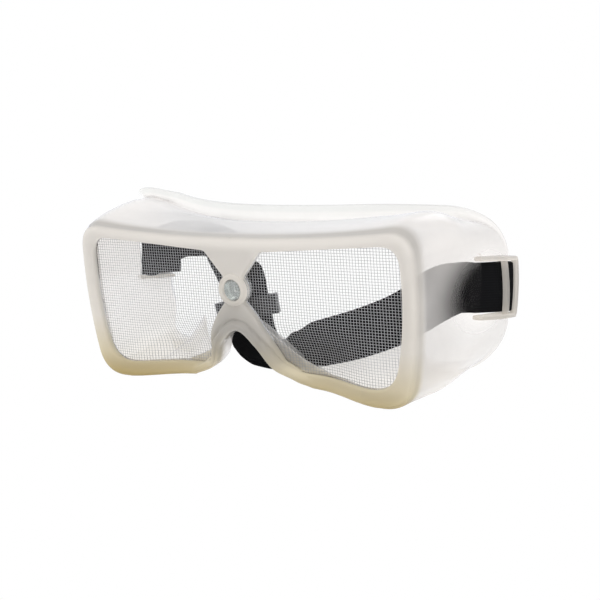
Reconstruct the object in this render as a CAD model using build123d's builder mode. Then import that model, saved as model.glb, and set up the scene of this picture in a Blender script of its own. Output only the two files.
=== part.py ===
"""Mesh safety goggles: a soft moulded cup, a wire mesh lens and an elastic headband with its slide.

Millimetres. +X is the right hand of the picture, -Y is the way the lens faces and +Z is up.
The goggles stand on the floor at Z = 0, on the lower edge of the rim and of the rear lip.
"""
from build123d import *
import math
import os

# Cup, seen from the front
front_half_width = 80.0
foot_half_width = 75.4
front_height = 62.1
corner_rise = 4.2
side_bulge = 2.0
top_corner = 11.0
foot_corner = 11.5
foot_inner = 60.0
foot_trim = 0.4

# Nose arch at the rim
arch_height = 24.9
arch_spring_half = 8.4
arch_spring_height = 19.3
nose_foot_half = 15.5
nose_foot_height = 9.0
cheek_half = 30.0
cheek_height = 2.2

# Cup at the back, where it meets the face
cup_depth = 65.0
rear_half_width = 85.8
rear_foot_half_width = 84.2
rear_height = 64.6
rear_bulge = 1.0
left_temple_rise = 8.0
right_temple_rise = -2.0
shoulder_rise = 3.6
rear_top_corner = 15.0
rear_foot_corner = 15.0
rear_foot_inner = 61.0
rear_foot_lift = 3.0
rear_arch_height = 46.0
rear_spring_half = 20.0
rear_spring_height = 38.0
rear_nose_foot_half = 32.0
rear_nose_foot_height = 25.0
rear_cheek_half = 47.0
rear_cheek_height = 19.0
crown_depth = 37.0
nose_gap_depth = 12.0
nose_gap_half = 46.0
nose_gap_height = 50.0

# Walls, rim and lip
wall = 2.0
rim_depth = 6.0
rim_top = 5.8
rim_side = 6.2
rim_foot = 6.9
ledge_width = 5.0
lip_width = 4.5
lip_thickness = 2.4
lip_inner_half = 50.0

# Mesh lens
mesh_setback = 3.0
mesh_thickness = 0.8
mesh_edge_inset = 2.6
mesh_pitch_x = 5.7
mesh_pitch_z = 5.4
mesh_wire = 1.0
mesh_selvage = 1.6
mesh_play = 0.15

# Tab, ring boss and button between the windows
tab_half_width = 13.4
boss_height = 41.2
boss_radius = 6.5
boss_bore = 4.3
boss_proud = 1.4
bead_width = 3.2
bead_proud = 1.8
button_play = 0.15
pin_radius = 1.5
cap_radius = 5.4
cap_thickness = 2.2

# Keepers for the headband on the side walls
slot_front = 40.5
slot_length = 16.5
slot_height = 20.4
keeper_arm = 2.8
keeper_reach = 90.8
keeper_bar = 2.6
keeper_bar_length = 4.5
keeper_window_length = 6.5
keeper_rim_length = 4.6
pad_crest = 53.0
pad_foot_rise = 0.2
channel_width = 2.2
keeper_tilt = 9.5
keeper_pivot = 51.0
left_keeper_height = 43.5
right_keeper_height = 35.6

# Headband
band_width = 19.0
band_thickness = 1.4
band_gap = 0.5
bend_depth = 44.0
approach_length = 10.0
approach_angle = 29.0
tail_length = 4.0

# Slide on the doubled band
slide_width = 26.0
slide_length = 8.0
slide_wall = 1.3
slide_play = 0.35

# Stitches
stitch_count = 6
stitch_length = 2.4
stitch_thickness = 0.5
stitch_height = 0.35
stitch_inset = 1.2

neck_angle = 50.0
overrun = 20.0

band_step = band_thickness + band_gap
wrap_depth = cup_depth + band_gap + band_thickness / 2
tilt = math.radians(keeper_tilt)
wrap_reach = wrap_depth + band_thickness / 2 - keeper_pivot
farthest = keeper_pivot + wrap_reach * math.cos(tilt) + band_width / 2 * math.sin(tilt)
front_y = -(farthest - bead_proud) / 2

# Each station's place from the rim to the back, and how far each size has gone there
station_shares = (0.0, 0.092, 0.35, 0.66, 1.05)
width_shares = (0.0, 0.1, 0.6, 0.92, 1.0)
crown_shares = (0.0, 0.35, 0.9, 1.0, 1.0)
foot_shares = (0.0, 0.0, 0.15, 1.0, 1.0)
nose_shares = (0.0, 0.05, 0.55, 1.0, 1.05)
vault_shares = (0.0, 0.02, 0.2, 1.0, 1.05)
shoulder_shares = (0.0, 0.45, 1.0, 0.5, 0.1)


def between(front, rear, share):
    """The size that lies this share of the way from its front value to its rear value."""
    return front + (rear - front) * share


def toward(start, goal, distance):
    """The point that lies this far from start on the line to goal."""
    span = math.dist(start, goal)
    return (start[0] + (goal[0] - start[0]) * distance / span,
            start[1] + (goal[1] - start[1]) * distance / span)


def facing(depth):
    """The plane across the cup this far behind the rim's front face, with X right and Z up."""
    return Plane.XZ.offset(-front_y - depth)


def section_half(side, station, inset):
    """Draw one half of the cup's outline at a station, from the crown round to the nose arch."""
    temple_rise = left_temple_rise if side < 0 else right_temple_rise
    crown = between(front_height, rear_height, crown_shares[station]) - inset
    rise = between(corner_rise, temple_rise, foot_shares[station])
    rise += shoulder_rise * shoulder_shares[station]
    top = (between(front_half_width, rear_half_width, width_shares[station]) - inset, crown + rise)
    floor = between(-foot_trim, rear_foot_lift, foot_shares[station]) + inset
    foot_width = between(foot_half_width, rear_foot_half_width, width_shares[station])
    foot = (foot_width - inset, floor)
    bulge = between(side_bulge, rear_bulge, width_shares[station])
    middle = ((top[0] + foot[0]) / 2 + 2 * bulge, (top[1] + foot[1]) / 2)
    crown_pull = (top[0] / 2, crown)
    top_radius = between(top_corner, rear_top_corner, width_shares[station]) - inset
    foot_radius = between(foot_corner, rear_foot_corner, width_shares[station]) - inset
    gone = nose_shares[station]
    risen = vault_shares[station]
    inner_foot = (between(foot_inner, rear_foot_inner, gone), floor)
    cheek = (between(cheek_half, rear_cheek_half, gone) + inset,
             between(cheek_height, rear_cheek_height, risen) + inset)
    nose_foot = (between(nose_foot_half, rear_nose_foot_half, gone) + inset,
                 between(nose_foot_height, rear_nose_foot_height, risen) + inset)
    spring = (between(arch_spring_half, rear_spring_half, gone) + inset,
              between(arch_spring_height, rear_spring_height, risen) + inset / 2)
    arch = (0, between(arch_height, rear_arch_height, risen) + inset)
    top_start = toward(top, crown_pull, top_radius)
    top_end = toward(top, middle, top_radius)
    foot_start = toward(foot, middle, foot_radius)
    foot_end = toward(foot, inner_foot, foot_radius)

    def placed(point):
        return (side * point[0], point[1])

    Bezier(placed((0, crown)), placed(crown_pull), placed(top_start))
    Bezier(placed(top_start), placed(top), placed(top_end))
    Bezier(placed(top_end), placed(middle), placed(foot_start))
    Bezier(placed(foot_start), placed(foot), placed(foot_end))
    Line(placed(foot_end), placed(inner_foot))
    Line(placed(inner_foot), placed(cheek))
    Spline(placed(cheek), placed(nose_foot), placed(spring), placed(arch),
           tangents=[(side * (nose_foot[0] - cheek[0]), nose_foot[1] - cheek[1]), (-side, 0)])


def cup_section(station, inset, depth):
    """The cup's outline at a station, moved inwards by the inset, drawn at a depth."""
    with BuildSketch(facing(depth)) as sketch:
        with BuildLine():
            for side in (1, -1):
                section_half(side, station, inset)
        make_face()
    return sketch.sketch


def cup_loft(inset, first_station):
    """The cup's space from one station to the back, moved inwards by the inset."""
    sections = [cup_section(station, inset, station_shares[station] * cup_depth)
                for station in range(first_station, len(station_shares))]
    with BuildPart() as space:
        loft(sections)
    return space.part


def rim_plate(inset, start, thickness):
    """A flat plate with the rim's outline, moved inwards by the inset."""
    outline = cup_section(0, inset, start + thickness)
    with BuildPart() as plate:
        extrude(outline, amount=thickness)
    return plate.part


# The face line: how deep the cup reaches, seen from above, at the nose and from the side
plan_shares = ((0.0, 0.0), (0.35, 0.04), (0.6, 0.2), (0.8, 0.46), (0.93, 0.78), (1.02, 1.05))
nose_line_shares = ((0.0, 0.0), (0.35, 0.0), (0.62, 0.03), (0.8, 0.25), (0.92, 0.62), (1.0, 1.0))
profile_shares = ((0.66, 1.3), (0.74, 1.13), (0.86, 0.99), (0.93, 0.84), (0.975, 0.68),
                  (1.0, 0.5), (0.985, 0.33), (0.92, 0.22), (0.79, 0.1), (0.66, 0.0), (0.6, -0.1))


def mirrored_curve(points):
    """A smooth curve through the points and their mirror images, from left to right."""
    Spline(*[(-x, y) for x, y in reversed(points[1:])], *points)


def face_side(shift):
    """Everything in front of the face line, moved forward by the shift."""
    plan = [(share * rear_half_width, front_y + between(crown_depth, cup_depth, gone) - shift)
            for share, gone in plan_shares]
    nose = [(share * nose_gap_half, front_y + between(nose_gap_depth, cup_depth, gone) - shift)
            for share, gone in nose_line_shares]
    profile = [(front_y + share * cup_depth - shift, height * front_height)
               for share, height in profile_shares]
    far = front_y - overrun
    top = front_height + 2 * overrun
    end_x, end_y = plan[-1]
    with BuildPart() as space:
        with BuildSketch(Plane.XY.offset(-overrun)):
            with BuildLine():
                mirrored_curve(plan)
                Polyline((end_x, end_y), (end_x + overrun, end_y), (end_x + overrun, far),
                         (-end_x - overrun, far), (-end_x - overrun, end_y), (-end_x, end_y))
            make_face()
        extrude(amount=top + overrun)
        with BuildSketch(Plane.YZ):
            with BuildLine():
                Spline(*profile)
                Polyline(profile[-1], (profile[-1][0], -overrun), (far, -overrun),
                         (far, top), (profile[0][0], top), profile[0])
            make_face()
        extrude(amount=end_x + 2 * overrun, both=True, mode=Mode.INTERSECT)
        with BuildSketch(Plane.XY.offset(-overrun)):
            with BuildLine():
                mirrored_curve(nose)
                Polyline(nose[-1], (nose[-1][0], nose[-1][1] + overrun),
                         (-nose[-1][0], nose[-1][1] + overrun), (-nose[-1][0], nose[-1][1]))
            make_face()
        extrude(amount=nose_gap_height + overrun, mode=Mode.SUBTRACT)
    return space.part


def block(low, high):
    """A box between two corners."""
    size = [high[axis] - low[axis] for axis in range(3)]
    middle = [(high[axis] + low[axis]) / 2 for axis in range(3)]
    return Pos(*middle) * Box(*size, mode=Mode.PRIVATE)


def keeper_height(side):
    """The height of the keeper's middle on one side of the cup."""
    return left_keeper_height if side < 0 else right_keeper_height


keeper_up = Vector(0, math.sin(tilt), math.cos(tilt))


def keeper_way(x, depth):
    """The direction of a step outwards and backwards in the keepers' tilted frame."""
    return Vector(x, depth * math.cos(tilt), -depth * math.sin(tilt))


def keeper_place(side, x, depth, rise):
    """A place beside one keeper: its distance out, its depth and its rise from the middle."""
    middle = Vector(0, front_y + keeper_pivot, keeper_height(side))
    return middle + keeper_way(side * x, depth - keeper_pivot) + keeper_up * rise


def keeper_solid(side, outline, half_height):
    """A straight solid across one keeper, from an outline of distances out and depths."""
    base = Plane(origin=keeper_place(side, 0, 0, -half_height), x_dir=(1, 0, 0), z_dir=keeper_up)
    with BuildPart() as solid:
        with BuildSketch(base):
            with BuildLine():
                Polyline(*[(side * x, depth) for x, depth in outline], close=True)
            make_face()
        extrude(amount=2 * half_height)
    return solid.part


def keeper_block(side, x_range, depth_range, half_height):
    """A box across one keeper."""
    near, far = x_range
    front, rear = depth_range
    return keeper_solid(side, ((near, front), (far, front), (far, rear), (near, rear)),
                        half_height)


def window(side):
    """One window of the rim, from the tab and the ring boss out to the temple."""
    top_edge = front_height - rim_top
    outer = front_half_width - rim_side
    foot_outer = foot_half_width - rim_side
    neck = boss_radius * math.sin(math.radians(neck_angle))
    drop = boss_radius * math.cos(math.radians(neck_angle))
    points = [(tab_half_width, top_edge),
              (outer, top_edge + corner_rise),
              (foot_outer, rim_foot),
              (foot_inner, rim_foot),
              (cheek_half - rim_side, rim_foot + cheek_height),
              (nose_foot_half + bead_width, nose_foot_height + bead_width),
              (arch_spring_half + boss_radius, arch_spring_height + bead_width),
              (boss_radius + bead_width, arch_height + rim_top),
              (neck, boss_height - drop),
              (boss_radius, boss_height),
              (neck, boss_height + drop)]
    with BuildSketch(facing(mesh_setback)) as sketch:
        with BuildLine():
            Polyline(*[(side * x, z) for x, z in points], close=True)
        make_face()
        fillet(sketch.vertices().sort_by(lambda corner: abs(corner.X))[-2:], radius=rim_side)
    outline = sketch.sketch
    with BuildPart() as opening:
        extrude(outline, amount=mesh_setback + overrun)
    return opening.part


def nose_bead():
    """The raised bead along the edge of the nose arch."""
    flank = [(0, arch_height + bead_width),
             (arch_spring_half, arch_height + bead_width / 2),
             (arch_spring_half + bead_width, arch_spring_height + bead_width / 2),
             (nose_foot_half + bead_width, nose_foot_height + bead_width),
             (cheek_half, cheek_height + bead_width),
             (cheek_half, -rim_foot)]
    plate = rim_plate(0, -bead_proud, bead_proud + wall)
    with BuildPart() as bead:
        with BuildSketch(facing(wall)):
            with BuildLine():
                Polyline(*flank, *[(-x, z) for x, z in reversed(flank[1:])], close=True)
            make_face()
        extrude(amount=bead_proud + wall)
        add(plate, mode=Mode.INTERSECT)
    return bead.part


# Keepers and their slots, measured out from the middle of the cup
channel_high = keeper_reach - keeper_bar
channel_low = channel_high - channel_width
slot_rear = slot_front + slot_length
window_rear = cup_depth - keeper_rim_length
bar_rear = window_rear - keeper_window_length
bar_front = bar_rear - keeper_bar_length
keeper_half = slot_height / 2 + keeper_arm
pad_root = rear_half_width - 2 * wall
pad_front = slot_front - keeper_arm
pad_outline = ((pad_root, pad_front), (channel_low + pad_foot_rise, pad_front),
               (keeper_reach, pad_crest), (keeper_reach, cup_depth), (pad_root, cup_depth))
outside = keeper_reach + overrun
behind = cup_depth + overrun

outer_cup = cup_loft(0, 0)
inner_cup = cup_loft(wall, 1)
lip_cup = cup_loft(-lip_width, 2)
cup_face = face_side(0)
lip_face = face_side(lip_thickness)
windows = [window(side) for side in (1, -1)]
bead = nose_bead()
mesh_groove = rim_plate(mesh_edge_inset - mesh_play, mesh_setback - mesh_play,
                        mesh_thickness + 2 * mesh_play)
rear_opening = rim_plate(ledge_width, mesh_setback, rim_depth - mesh_setback + wall)

# Lip round the face line, left out where the headband wraps the side walls
with BuildPart() as rear_lip:
    add(lip_cup)
    add(cup_face, mode=Mode.INTERSECT)
    add(lip_face, mode=Mode.SUBTRACT)
    add(inner_cup, mode=Mode.SUBTRACT)
    add(block((-lip_inner_half, front_y, -overrun),
              (lip_inner_half, front_y + behind, nose_gap_height)), mode=Mode.SUBTRACT)
    for side in (1, -1):
        add(keeper_block(side, (rear_foot_inner, outside), (0, behind), keeper_half),
            mode=Mode.SUBTRACT)

# Goggle body
with BuildPart() as goggle_body:
    add(outer_cup)
    for side in (1, -1):
        add(keeper_solid(side, pad_outline, keeper_half))
    add(inner_cup, mode=Mode.SUBTRACT)
    add(cup_face, mode=Mode.INTERSECT)
    add(rear_lip.part)
    add(bead)
    with BuildSketch(facing(mesh_setback - mesh_play)):
        with Locations((0, boss_height)):
            Circle(boss_radius)
    extrude(amount=mesh_setback - mesh_play + boss_proud)
    for opening in windows:
        add(opening, mode=Mode.SUBTRACT)
    with BuildSketch(facing(mesh_setback)):
        with Locations((0, boss_height)):
            Circle(boss_bore)
    extrude(amount=mesh_setback + overrun, mode=Mode.SUBTRACT)
    add(mesh_groove, mode=Mode.SUBTRACT)
    add(rear_opening, mode=Mode.SUBTRACT)
    for side in (1, -1):
        for x_range, depth_range in (((rear_foot_inner, outside), (slot_front, bar_front)),
                                     ((rear_foot_inner, channel_high), (slot_front, slot_rear)),
                                     ((channel_low, outside), (bar_rear, window_rear)),
                                     ((channel_low, channel_high), (slot_front, behind))):
            add(keeper_block(side, x_range, depth_range, slot_height / 2), mode=Mode.SUBTRACT)
        add(keeper_block(side, (rear_foot_inner, outside), (cup_depth, behind), keeper_half),
            mode=Mode.SUBTRACT)
    add(block((-outside, front_y - overrun, -overrun), (outside, front_y + cup_depth + overrun, 0)),
        mode=Mode.SUBTRACT)
goggle_body.part.label = "goggle_body"

# Mesh lens: a sheet in the rim's groove, with square gaps inside a plain selvage
net_outline = cup_section(0, mesh_edge_inset + mesh_selvage, mesh_setback + mesh_thickness)
columns = int(2 * front_half_width / mesh_pitch_x)
rows = int((front_height + corner_rise) / mesh_pitch_z) + 1
gap_size = (mesh_pitch_x - mesh_wire, mesh_pitch_z - mesh_wire)
with BuildSketch(facing(mesh_setback + mesh_thickness)) as gaps:
    with Locations((0, front_height / 2)):
        with GridLocations(mesh_pitch_x, mesh_pitch_z, columns, rows):
            Rectangle(*gap_size)
    with Locations((0, boss_height)):
        Circle(boss_bore, mode=Mode.SUBTRACT)
    add(net_outline, mode=Mode.INTERSECT)
least_gap_share = 0.35
open_gaps = [gap for gap in gaps.sketch.faces()
             if gap.area > least_gap_share * gap_size[0] * gap_size[1]]
mesh_sheet = rim_plate(mesh_edge_inset, mesh_setback, mesh_thickness)
with BuildPart() as mesh_lens:
    add(mesh_sheet)
    extrude(open_gaps, amount=mesh_thickness, mode=Mode.SUBTRACT)
    with BuildSketch(facing(mesh_setback + mesh_thickness)):
        with Locations((0, boss_height)):
            Circle(pin_radius + mesh_play)
    extrude(amount=mesh_thickness, mode=Mode.SUBTRACT)
mesh_lens.part.label = "mesh_lens"
print("mesh gaps", len(open_gaps))

# Bridge button: a clear round head in the ring boss, with a pin through the mesh
pin_end = mesh_setback + mesh_thickness + mesh_play + cap_thickness
with BuildPart() as bridge_button:
    with BuildSketch(facing(mesh_setback)):
        with Locations((0, boss_height)):
            Circle(boss_bore - button_play)
    extrude(amount=mesh_setback + boss_proud / 2)
    with BuildSketch(facing(pin_end)):
        with Locations((0, boss_height)):
            Circle(pin_radius)
    extrude(amount=pin_end)
    chamfer(bridge_button.faces().sort_by(Axis.Y)[0].edges(), length=boss_proud / 3)
bridge_button.part.label = "bridge_button"

# Bridge cap: the disc on the pin's end, behind the mesh
with BuildPart() as bridge_cap:
    with BuildSketch(facing(pin_end)):
        with Locations((0, boss_height)):
            Circle(cap_radius)
            Circle(pin_radius, mode=Mode.SUBTRACT)
    extrude(amount=cap_thickness)
    chamfer(bridge_cap.faces().sort_by(Axis.Y)[-1].outer_wire().edges(), length=cap_thickness / 4)
bridge_cap.part.label = "bridge_cap"

# Headband route from the left keeper to the right one: shares of the rim's half width, the cup's
# depth and the rim's height, with the way the band's width lies
route_shares = (((-0.83, 0.43, 0.77), (-0.22, 0.05, 0.97)),
                ((-0.65, 0.38, 0.86), (-0.30, 0.35, 0.89)),
                ((-0.475, 0.40, 0.90), (-0.15, 0.75, 0.64)),
                ((-0.34, 0.45, 0.86), (0.35, 0.90, 0.25)),
                ((-0.235, 0.46, 0.75), (0.70, 0.69, 0.10)),
                ((-0.17, 0.38, 0.61), (0.90, 0.42, 0.05)),
                ((-0.13, 0.37, 0.285), (0.90, 0.42, 0.05)),
                ((-0.09, 0.345, 0.205), (0.60, 0.80, 0.00)),
                ((-0.01, 0.325, 0.155), (0.10, 0.95, 0.20)),
                ((0.12, 0.32, 0.185), (0.00, 0.85, 0.50)),
                ((0.30, 0.345, 0.25), (-0.20, 0.50, 0.84)),
                ((0.525, 0.39, 0.335), (-0.28, 0.25, 0.92)),
                ((0.725, 0.445, 0.44), (-0.20, 0.12, 0.97)))
straight_start = 6
straight_end = 7
approach = math.radians(approach_angle)
inner_lane = channel_low - wall - band_gap - band_thickness / 2
outer_lane = channel_low + channel_width / 2
lap_start = (inner_lane - approach_length * math.sin(approach),
             bend_depth - approach_length * math.cos(approach))
main_turn = (inner_lane - band_step * math.cos(approach),
             bend_depth + band_step * math.sin(approach))
main_end = (main_turn[0] - approach_length * math.sin(approach),
            main_turn[1] - approach_length * math.cos(approach))
keeper_route = (lap_start, (inner_lane, bend_depth), (outer_lane, slot_rear - band_thickness),
                (outer_lane, wrap_depth), (inner_lane, wrap_depth),
                (inner_lane, window_rear), main_turn, main_end)


def route_point(x_share, depth_share, height_share):
    """A place inside the cup as shares of its sizes."""
    return Vector(x_share * front_half_width, front_y + depth_share * cup_depth,
                  height_share * front_height)


centres = ([keeper_place(-1, *main_end, 0)]
           + [route_point(*share) for share, width in route_shares]
           + [keeper_place(1, *main_end, 0)])
widths = [keeper_up] + [Vector(*width) for share, width in route_shares] + [keeper_up]
headings = [(after - before).normalized() for before, after in zip(centres, centres[2:])]
headings.insert(0, keeper_way(math.sin(approach), -math.cos(approach)))
headings.append(keeper_way(math.sin(approach), math.cos(approach)))
straight = (centres[straight_end] - centres[straight_start]).normalized()
headings[straight_start] = straight
headings[straight_end] = straight
band_planes = [Plane(origin=centre, x_dir=width - heading * width.dot(heading), z_dir=heading)
               for centre, width, heading in zip(centres, widths, headings)]


def band_loft(planes):
    """A flat band with straight edges through the planes, each of which cuts it square."""
    cuts = []
    for plane in planes:
        with BuildSketch(plane) as cut:
            Rectangle(band_width, band_thickness)
        cuts.append(cut.sketch)
    with BuildPart() as band:
        for start, end in zip(cuts, cuts[1:]):
            loft([start, end], ruled=True)
    return band.part


def ribbon_outline(points, thickness):
    """The closed outline of a folded strip that follows the points."""
    sides = ([], [])
    for index, point in enumerate(points):
        before = Vector(*points[max(index - 1, 0)])
        after = Vector(*points[min(index + 1, len(points) - 1)])
        here = Vector(*point)
        one = (here - before if index else after - here).normalized()
        two = (after - here if index < len(points) - 1 else here - before).normalized()
        across = (one + two).normalized().rotate(Axis.Z, 90)
        reach = thickness / 2 / across.dot(one.rotate(Axis.Z, 90))
        sides[0].append(here + across * reach)
        sides[1].append(here - across * reach)
    return sides[0] + sides[1][::-1]


def keeper_wrap(side):
    """The band's loop round the rear strip of a side wall, through the slot and under the bar."""
    strip = [(place.X, place.Y) for place in ribbon_outline(keeper_route, band_thickness)]
    return keeper_solid(side, strip, band_width / 2)


tail_planes = [Plane(origin=plane.origin + plane.y_dir * band_step, x_dir=plane.x_dir,
                     z_dir=plane.z_dir) for plane in band_planes[straight_start:]]
tail_planes[0] = Plane(origin=tail_planes[0].origin - straight * tail_length,
                       x_dir=tail_planes[0].x_dir, z_dir=straight)
main_band = band_loft(band_planes)
tail_band = band_loft(tail_planes)
wraps = [keeper_wrap(side) for side in (1, -1)]
with BuildPart() as headband:
    add(main_band)
    add(tail_band)
    for wrap in wraps:
        add(wrap)
headband.part.label = "headband"

# Adjuster slide: a flat frame round both layers of the band, on its straight stretch
middle = (centres[straight_start] + centres[straight_end]) * 0.5
middle = middle + band_planes[straight_end].y_dir * (band_step / 2)
slide_plane = Plane(origin=middle, x_dir=band_planes[straight_end].x_dir, z_dir=straight)
slot_across = band_width + 2 * slide_play
slot_deep = band_step + band_thickness + 2 * slide_play
with BuildSketch(slide_plane) as slide_outline:
    Rectangle(slide_width, slot_deep + 2 * slide_wall)
    fillet(slide_outline.vertices(), radius=slide_wall)
    Rectangle(slot_across, slot_deep, mode=Mode.SUBTRACT)
with BuildPart() as adjuster_slide:
    extrude(slide_outline.sketch, amount=slide_length / 2, both=True)
adjuster_slide.part.label = "adjuster_slide"
slide_room = (math.dist(centres[straight_end], centres[straight_start]) - slide_length) / 2
print("front plane", front_y, "slide axis", straight, "centre", middle, "room each way", slide_room)


def bar_tack(plane):
    """A row of stitches across the band, lying on the face that the plane is drawn on."""
    pitch = (band_width - 2 * stitch_inset) / (stitch_count - 1)
    with BuildPart() as row:
        with BuildSketch(plane):
            with GridLocations(pitch, stitch_length, stitch_count, 1):
                Rectangle(stitch_thickness, stitch_length)
        extrude(amount=stitch_height)
    return row.part


# Stitching of the lap at the left keeper, on the side of the band that faces the wall
lap_heading = keeper_way(math.sin(approach), -math.cos(approach))
lap_face = lap_heading.cross(keeper_up)
lap_place = (keeper_place(-1, *lap_start, 0) - lap_heading * (stitch_length / 2 + stitch_inset)
             + lap_face * (band_thickness / 2))
with BuildPart() as lap_stitching:
    add(bar_tack(Plane(origin=lap_place, x_dir=keeper_up, z_dir=lap_face)))
lap_stitching.part.label = "lap_stitching"

# Stitching of the hem at the tail's free end
hem_plane = tail_planes[0]
hem_place = (hem_plane.origin + straight * (stitch_length / 2 + stitch_inset)
             + hem_plane.y_dir * (band_thickness / 2))
with BuildPart() as hem_stitching:
    add(bar_tack(Plane(origin=hem_place, x_dir=hem_plane.x_dir, z_dir=hem_plane.y_dir)))
hem_stitching.part.label = "hem_stitching"

os.makedirs("parts", exist_ok=True)
for piece in (goggle_body, mesh_lens, bridge_button, bridge_cap, headband, adjuster_slide,
              lap_stitching, hem_stitching):
    export_step(piece.part, "parts/" + piece.part.label + ".step")
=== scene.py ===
# %% [markdown]
# # Mesh safety goggles
# A soft cup of translucent vinyl holds a flat sheet of woven steel wire. A tab between the windows
# carries a ring boss with a clear button. Keepers on the side walls hold a black elastic headband,
# which is tucked away inside the cup with its adjuster slide.
#
# The packed CAD model gives the frame, the joint and the places. The soft and the woven pieces are
# built here as numpy surfaces, because bevels on CAD solids can't give moulded edges or a weave.
# The crisp plastic pieces keep their CAD solids.
# %% Load the packed model
import math

import bmesh
import bpy
import numpy as np
from mathutils import Matrix, Vector


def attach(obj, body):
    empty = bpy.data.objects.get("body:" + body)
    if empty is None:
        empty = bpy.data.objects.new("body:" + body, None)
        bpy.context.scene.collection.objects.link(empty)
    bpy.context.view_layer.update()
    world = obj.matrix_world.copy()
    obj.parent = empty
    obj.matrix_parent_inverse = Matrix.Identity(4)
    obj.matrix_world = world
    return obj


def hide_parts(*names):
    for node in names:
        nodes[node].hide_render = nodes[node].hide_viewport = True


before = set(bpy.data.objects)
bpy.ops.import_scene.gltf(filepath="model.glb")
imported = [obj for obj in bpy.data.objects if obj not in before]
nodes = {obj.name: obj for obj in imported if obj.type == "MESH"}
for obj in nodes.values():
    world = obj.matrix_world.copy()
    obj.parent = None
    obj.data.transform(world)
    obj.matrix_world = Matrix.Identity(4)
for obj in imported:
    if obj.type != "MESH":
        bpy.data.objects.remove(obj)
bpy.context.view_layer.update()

MM = 0.001
print("nodes", sorted(nodes))

# %% [markdown]
# ## Soft curves from a few points
# A moulded cup has hardly a straight edge, so its lines are curves that run through or towards a
# few places. Blender's own curve objects could draw them. Small formulas on whole arrays are used
# instead, because they give a point anywhere on a line, at any depth of the cup, in one step.
# A place seen from the front is a complex number: real part out from the middle, imaginary part up.
# %% Curves
def mix(first, last, share):
    """The value that lies this share of the way from first to last."""
    return first + (last - first) * share


def smooth(x, low, high):
    """0 below low, 1 above high and a soft step between: u squared times (3 - 2u)."""
    u = np.clip((x - low) / (high - low), 0, 1)
    return u * u * (3 - 2 * u)


def bend(a, b, c, u):
    """A quadratic curve from a to c that b pulls: it passes half-way between b and the chord."""
    return (1 - u)**2 * a + 2 * u * (1 - u) * b + u**2 * c


def hermite(a, b, slope_a, slope_b, h, u):
    """A cubic from a to b with these slopes per millimetre, over a length h."""
    return ((2 * u**3 - 3 * u**2 + 1) * a + (u**3 - 2 * u**2 + u) * h * slope_a
            + (3 * u**2 - 2 * u**3) * b + (u**3 - u**2) * h * slope_b)


def through(x, xs, ys):
    """A smooth curve through the points (xs, ys), read at x: one cubic from each to the next."""
    xs, ys = np.asarray(xs, float), np.asarray(ys, float)
    slopes = np.gradient(ys, xs)
    k = np.clip(np.searchsorted(xs, x, side="right") - 1, 0, len(xs) - 2)
    h = xs[k + 1] - xs[k]
    u = np.clip((x - xs[k]) / h, 0, 1)
    return hermite(ys[k], ys[k + 1], slopes[k], slopes[k + 1], h, u)


def toward(start, goal, distance):
    """The place this far from start on the way to goal."""
    return start + (goal - start) / np.abs(goal - start) * distance


def corner_arc(corner, before, after, radius, u):
    """A rounded corner: the curve between the places a radius away on both sides of it."""
    return bend(toward(corner, before, radius), corner, toward(corner, after, radius), u)


def shared_slope(a, b, c):
    """The slope at b of a curve from a to c: the slopes of both spans, the shorter counting more."""
    before, after = np.abs(b - a), np.abs(c - b)
    return ((b - a) / before * after + (c - b) / after * before) / (before + after)


print("half-way round a corner", corner_arc(1 + 1j, 0j, 2 + 0j, 0.5, 0.5))

# %% [markdown]
# ## Outline of the cup
# Seen from the front, the cup is a mask with a high crown, rounded temples, a straight foot and an
# arch for the nose. It flares from the rim to the back. Lofting between two drawn outlines would
# make one surface, but the rim, the wall, the lip and the edge of the mesh all follow the same line
# at other depths and insets. So `outline` is a formula of side, t, depth and inset that serves all
# four. Sizes are in millimetres, and depth runs back from the front face of the rim. The cup is
# soft and a little racked: its left temple and left keeper stand higher than the right ones.
# %% Outline of the cup
RIGHT, LEFT = SIDES = (1, -1)
FRONT_Y = -33.225
CUP_DEPTH = 65.0
# How far each form has changed from its rim size to its back size at these depths.
STATIONS = np.array((0.0, 0.092, 0.35, 0.66, 1.05)) * CUP_DEPTH
WIDTH = (0.0, 0.1, 0.6, 0.92, 1.0)
CROWN = (0.0, 0.35, 0.9, 1.0, 1.0)
FOOT = (0.0, 0.0, 0.15, 1.0, 1.0)
NOSE = (0.0, 0.05, 0.55, 1.0, 1.05)
VAULT = (0.0, 0.02, 0.2, 1.0, 1.05)
SHOULDER = (0.0, 0.45, 1.0, 0.5, 0.1)
# Pairs of sizes: at the rim and at the back.
CROWN_TOP = (62.1, 64.6)
TEMPLE_OUT, TEMPLE_RADIUS = (80.0, 85.8), (11.0, 15.0)
TEMPLE_RISE, SHOULDER_RISE = {RIGHT: (4.2, -2.0), LEFT: (4.2, 8.0)}, 3.6
FOOT_OUT, FOOT_RADIUS = (75.4, 84.2), (11.5, 15.0)
FLOOR_UP, FLOOR_END = (-0.4, 3.0), (60.0, 61.0)
SIDE_BULGE = (2.0, 1.0)
CHEEK_OUT, CHEEK_UP = (30.0, 47.0), (2.2, 19.0)
NOSE_OUT, NOSE_UP = (15.5, 32.0), (9.0, 25.0)
SPRING_OUT, SPRING_UP = (8.4, 20.0), (19.3, 38.0)
ARCH_UP = (24.9, 46.0)


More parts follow.
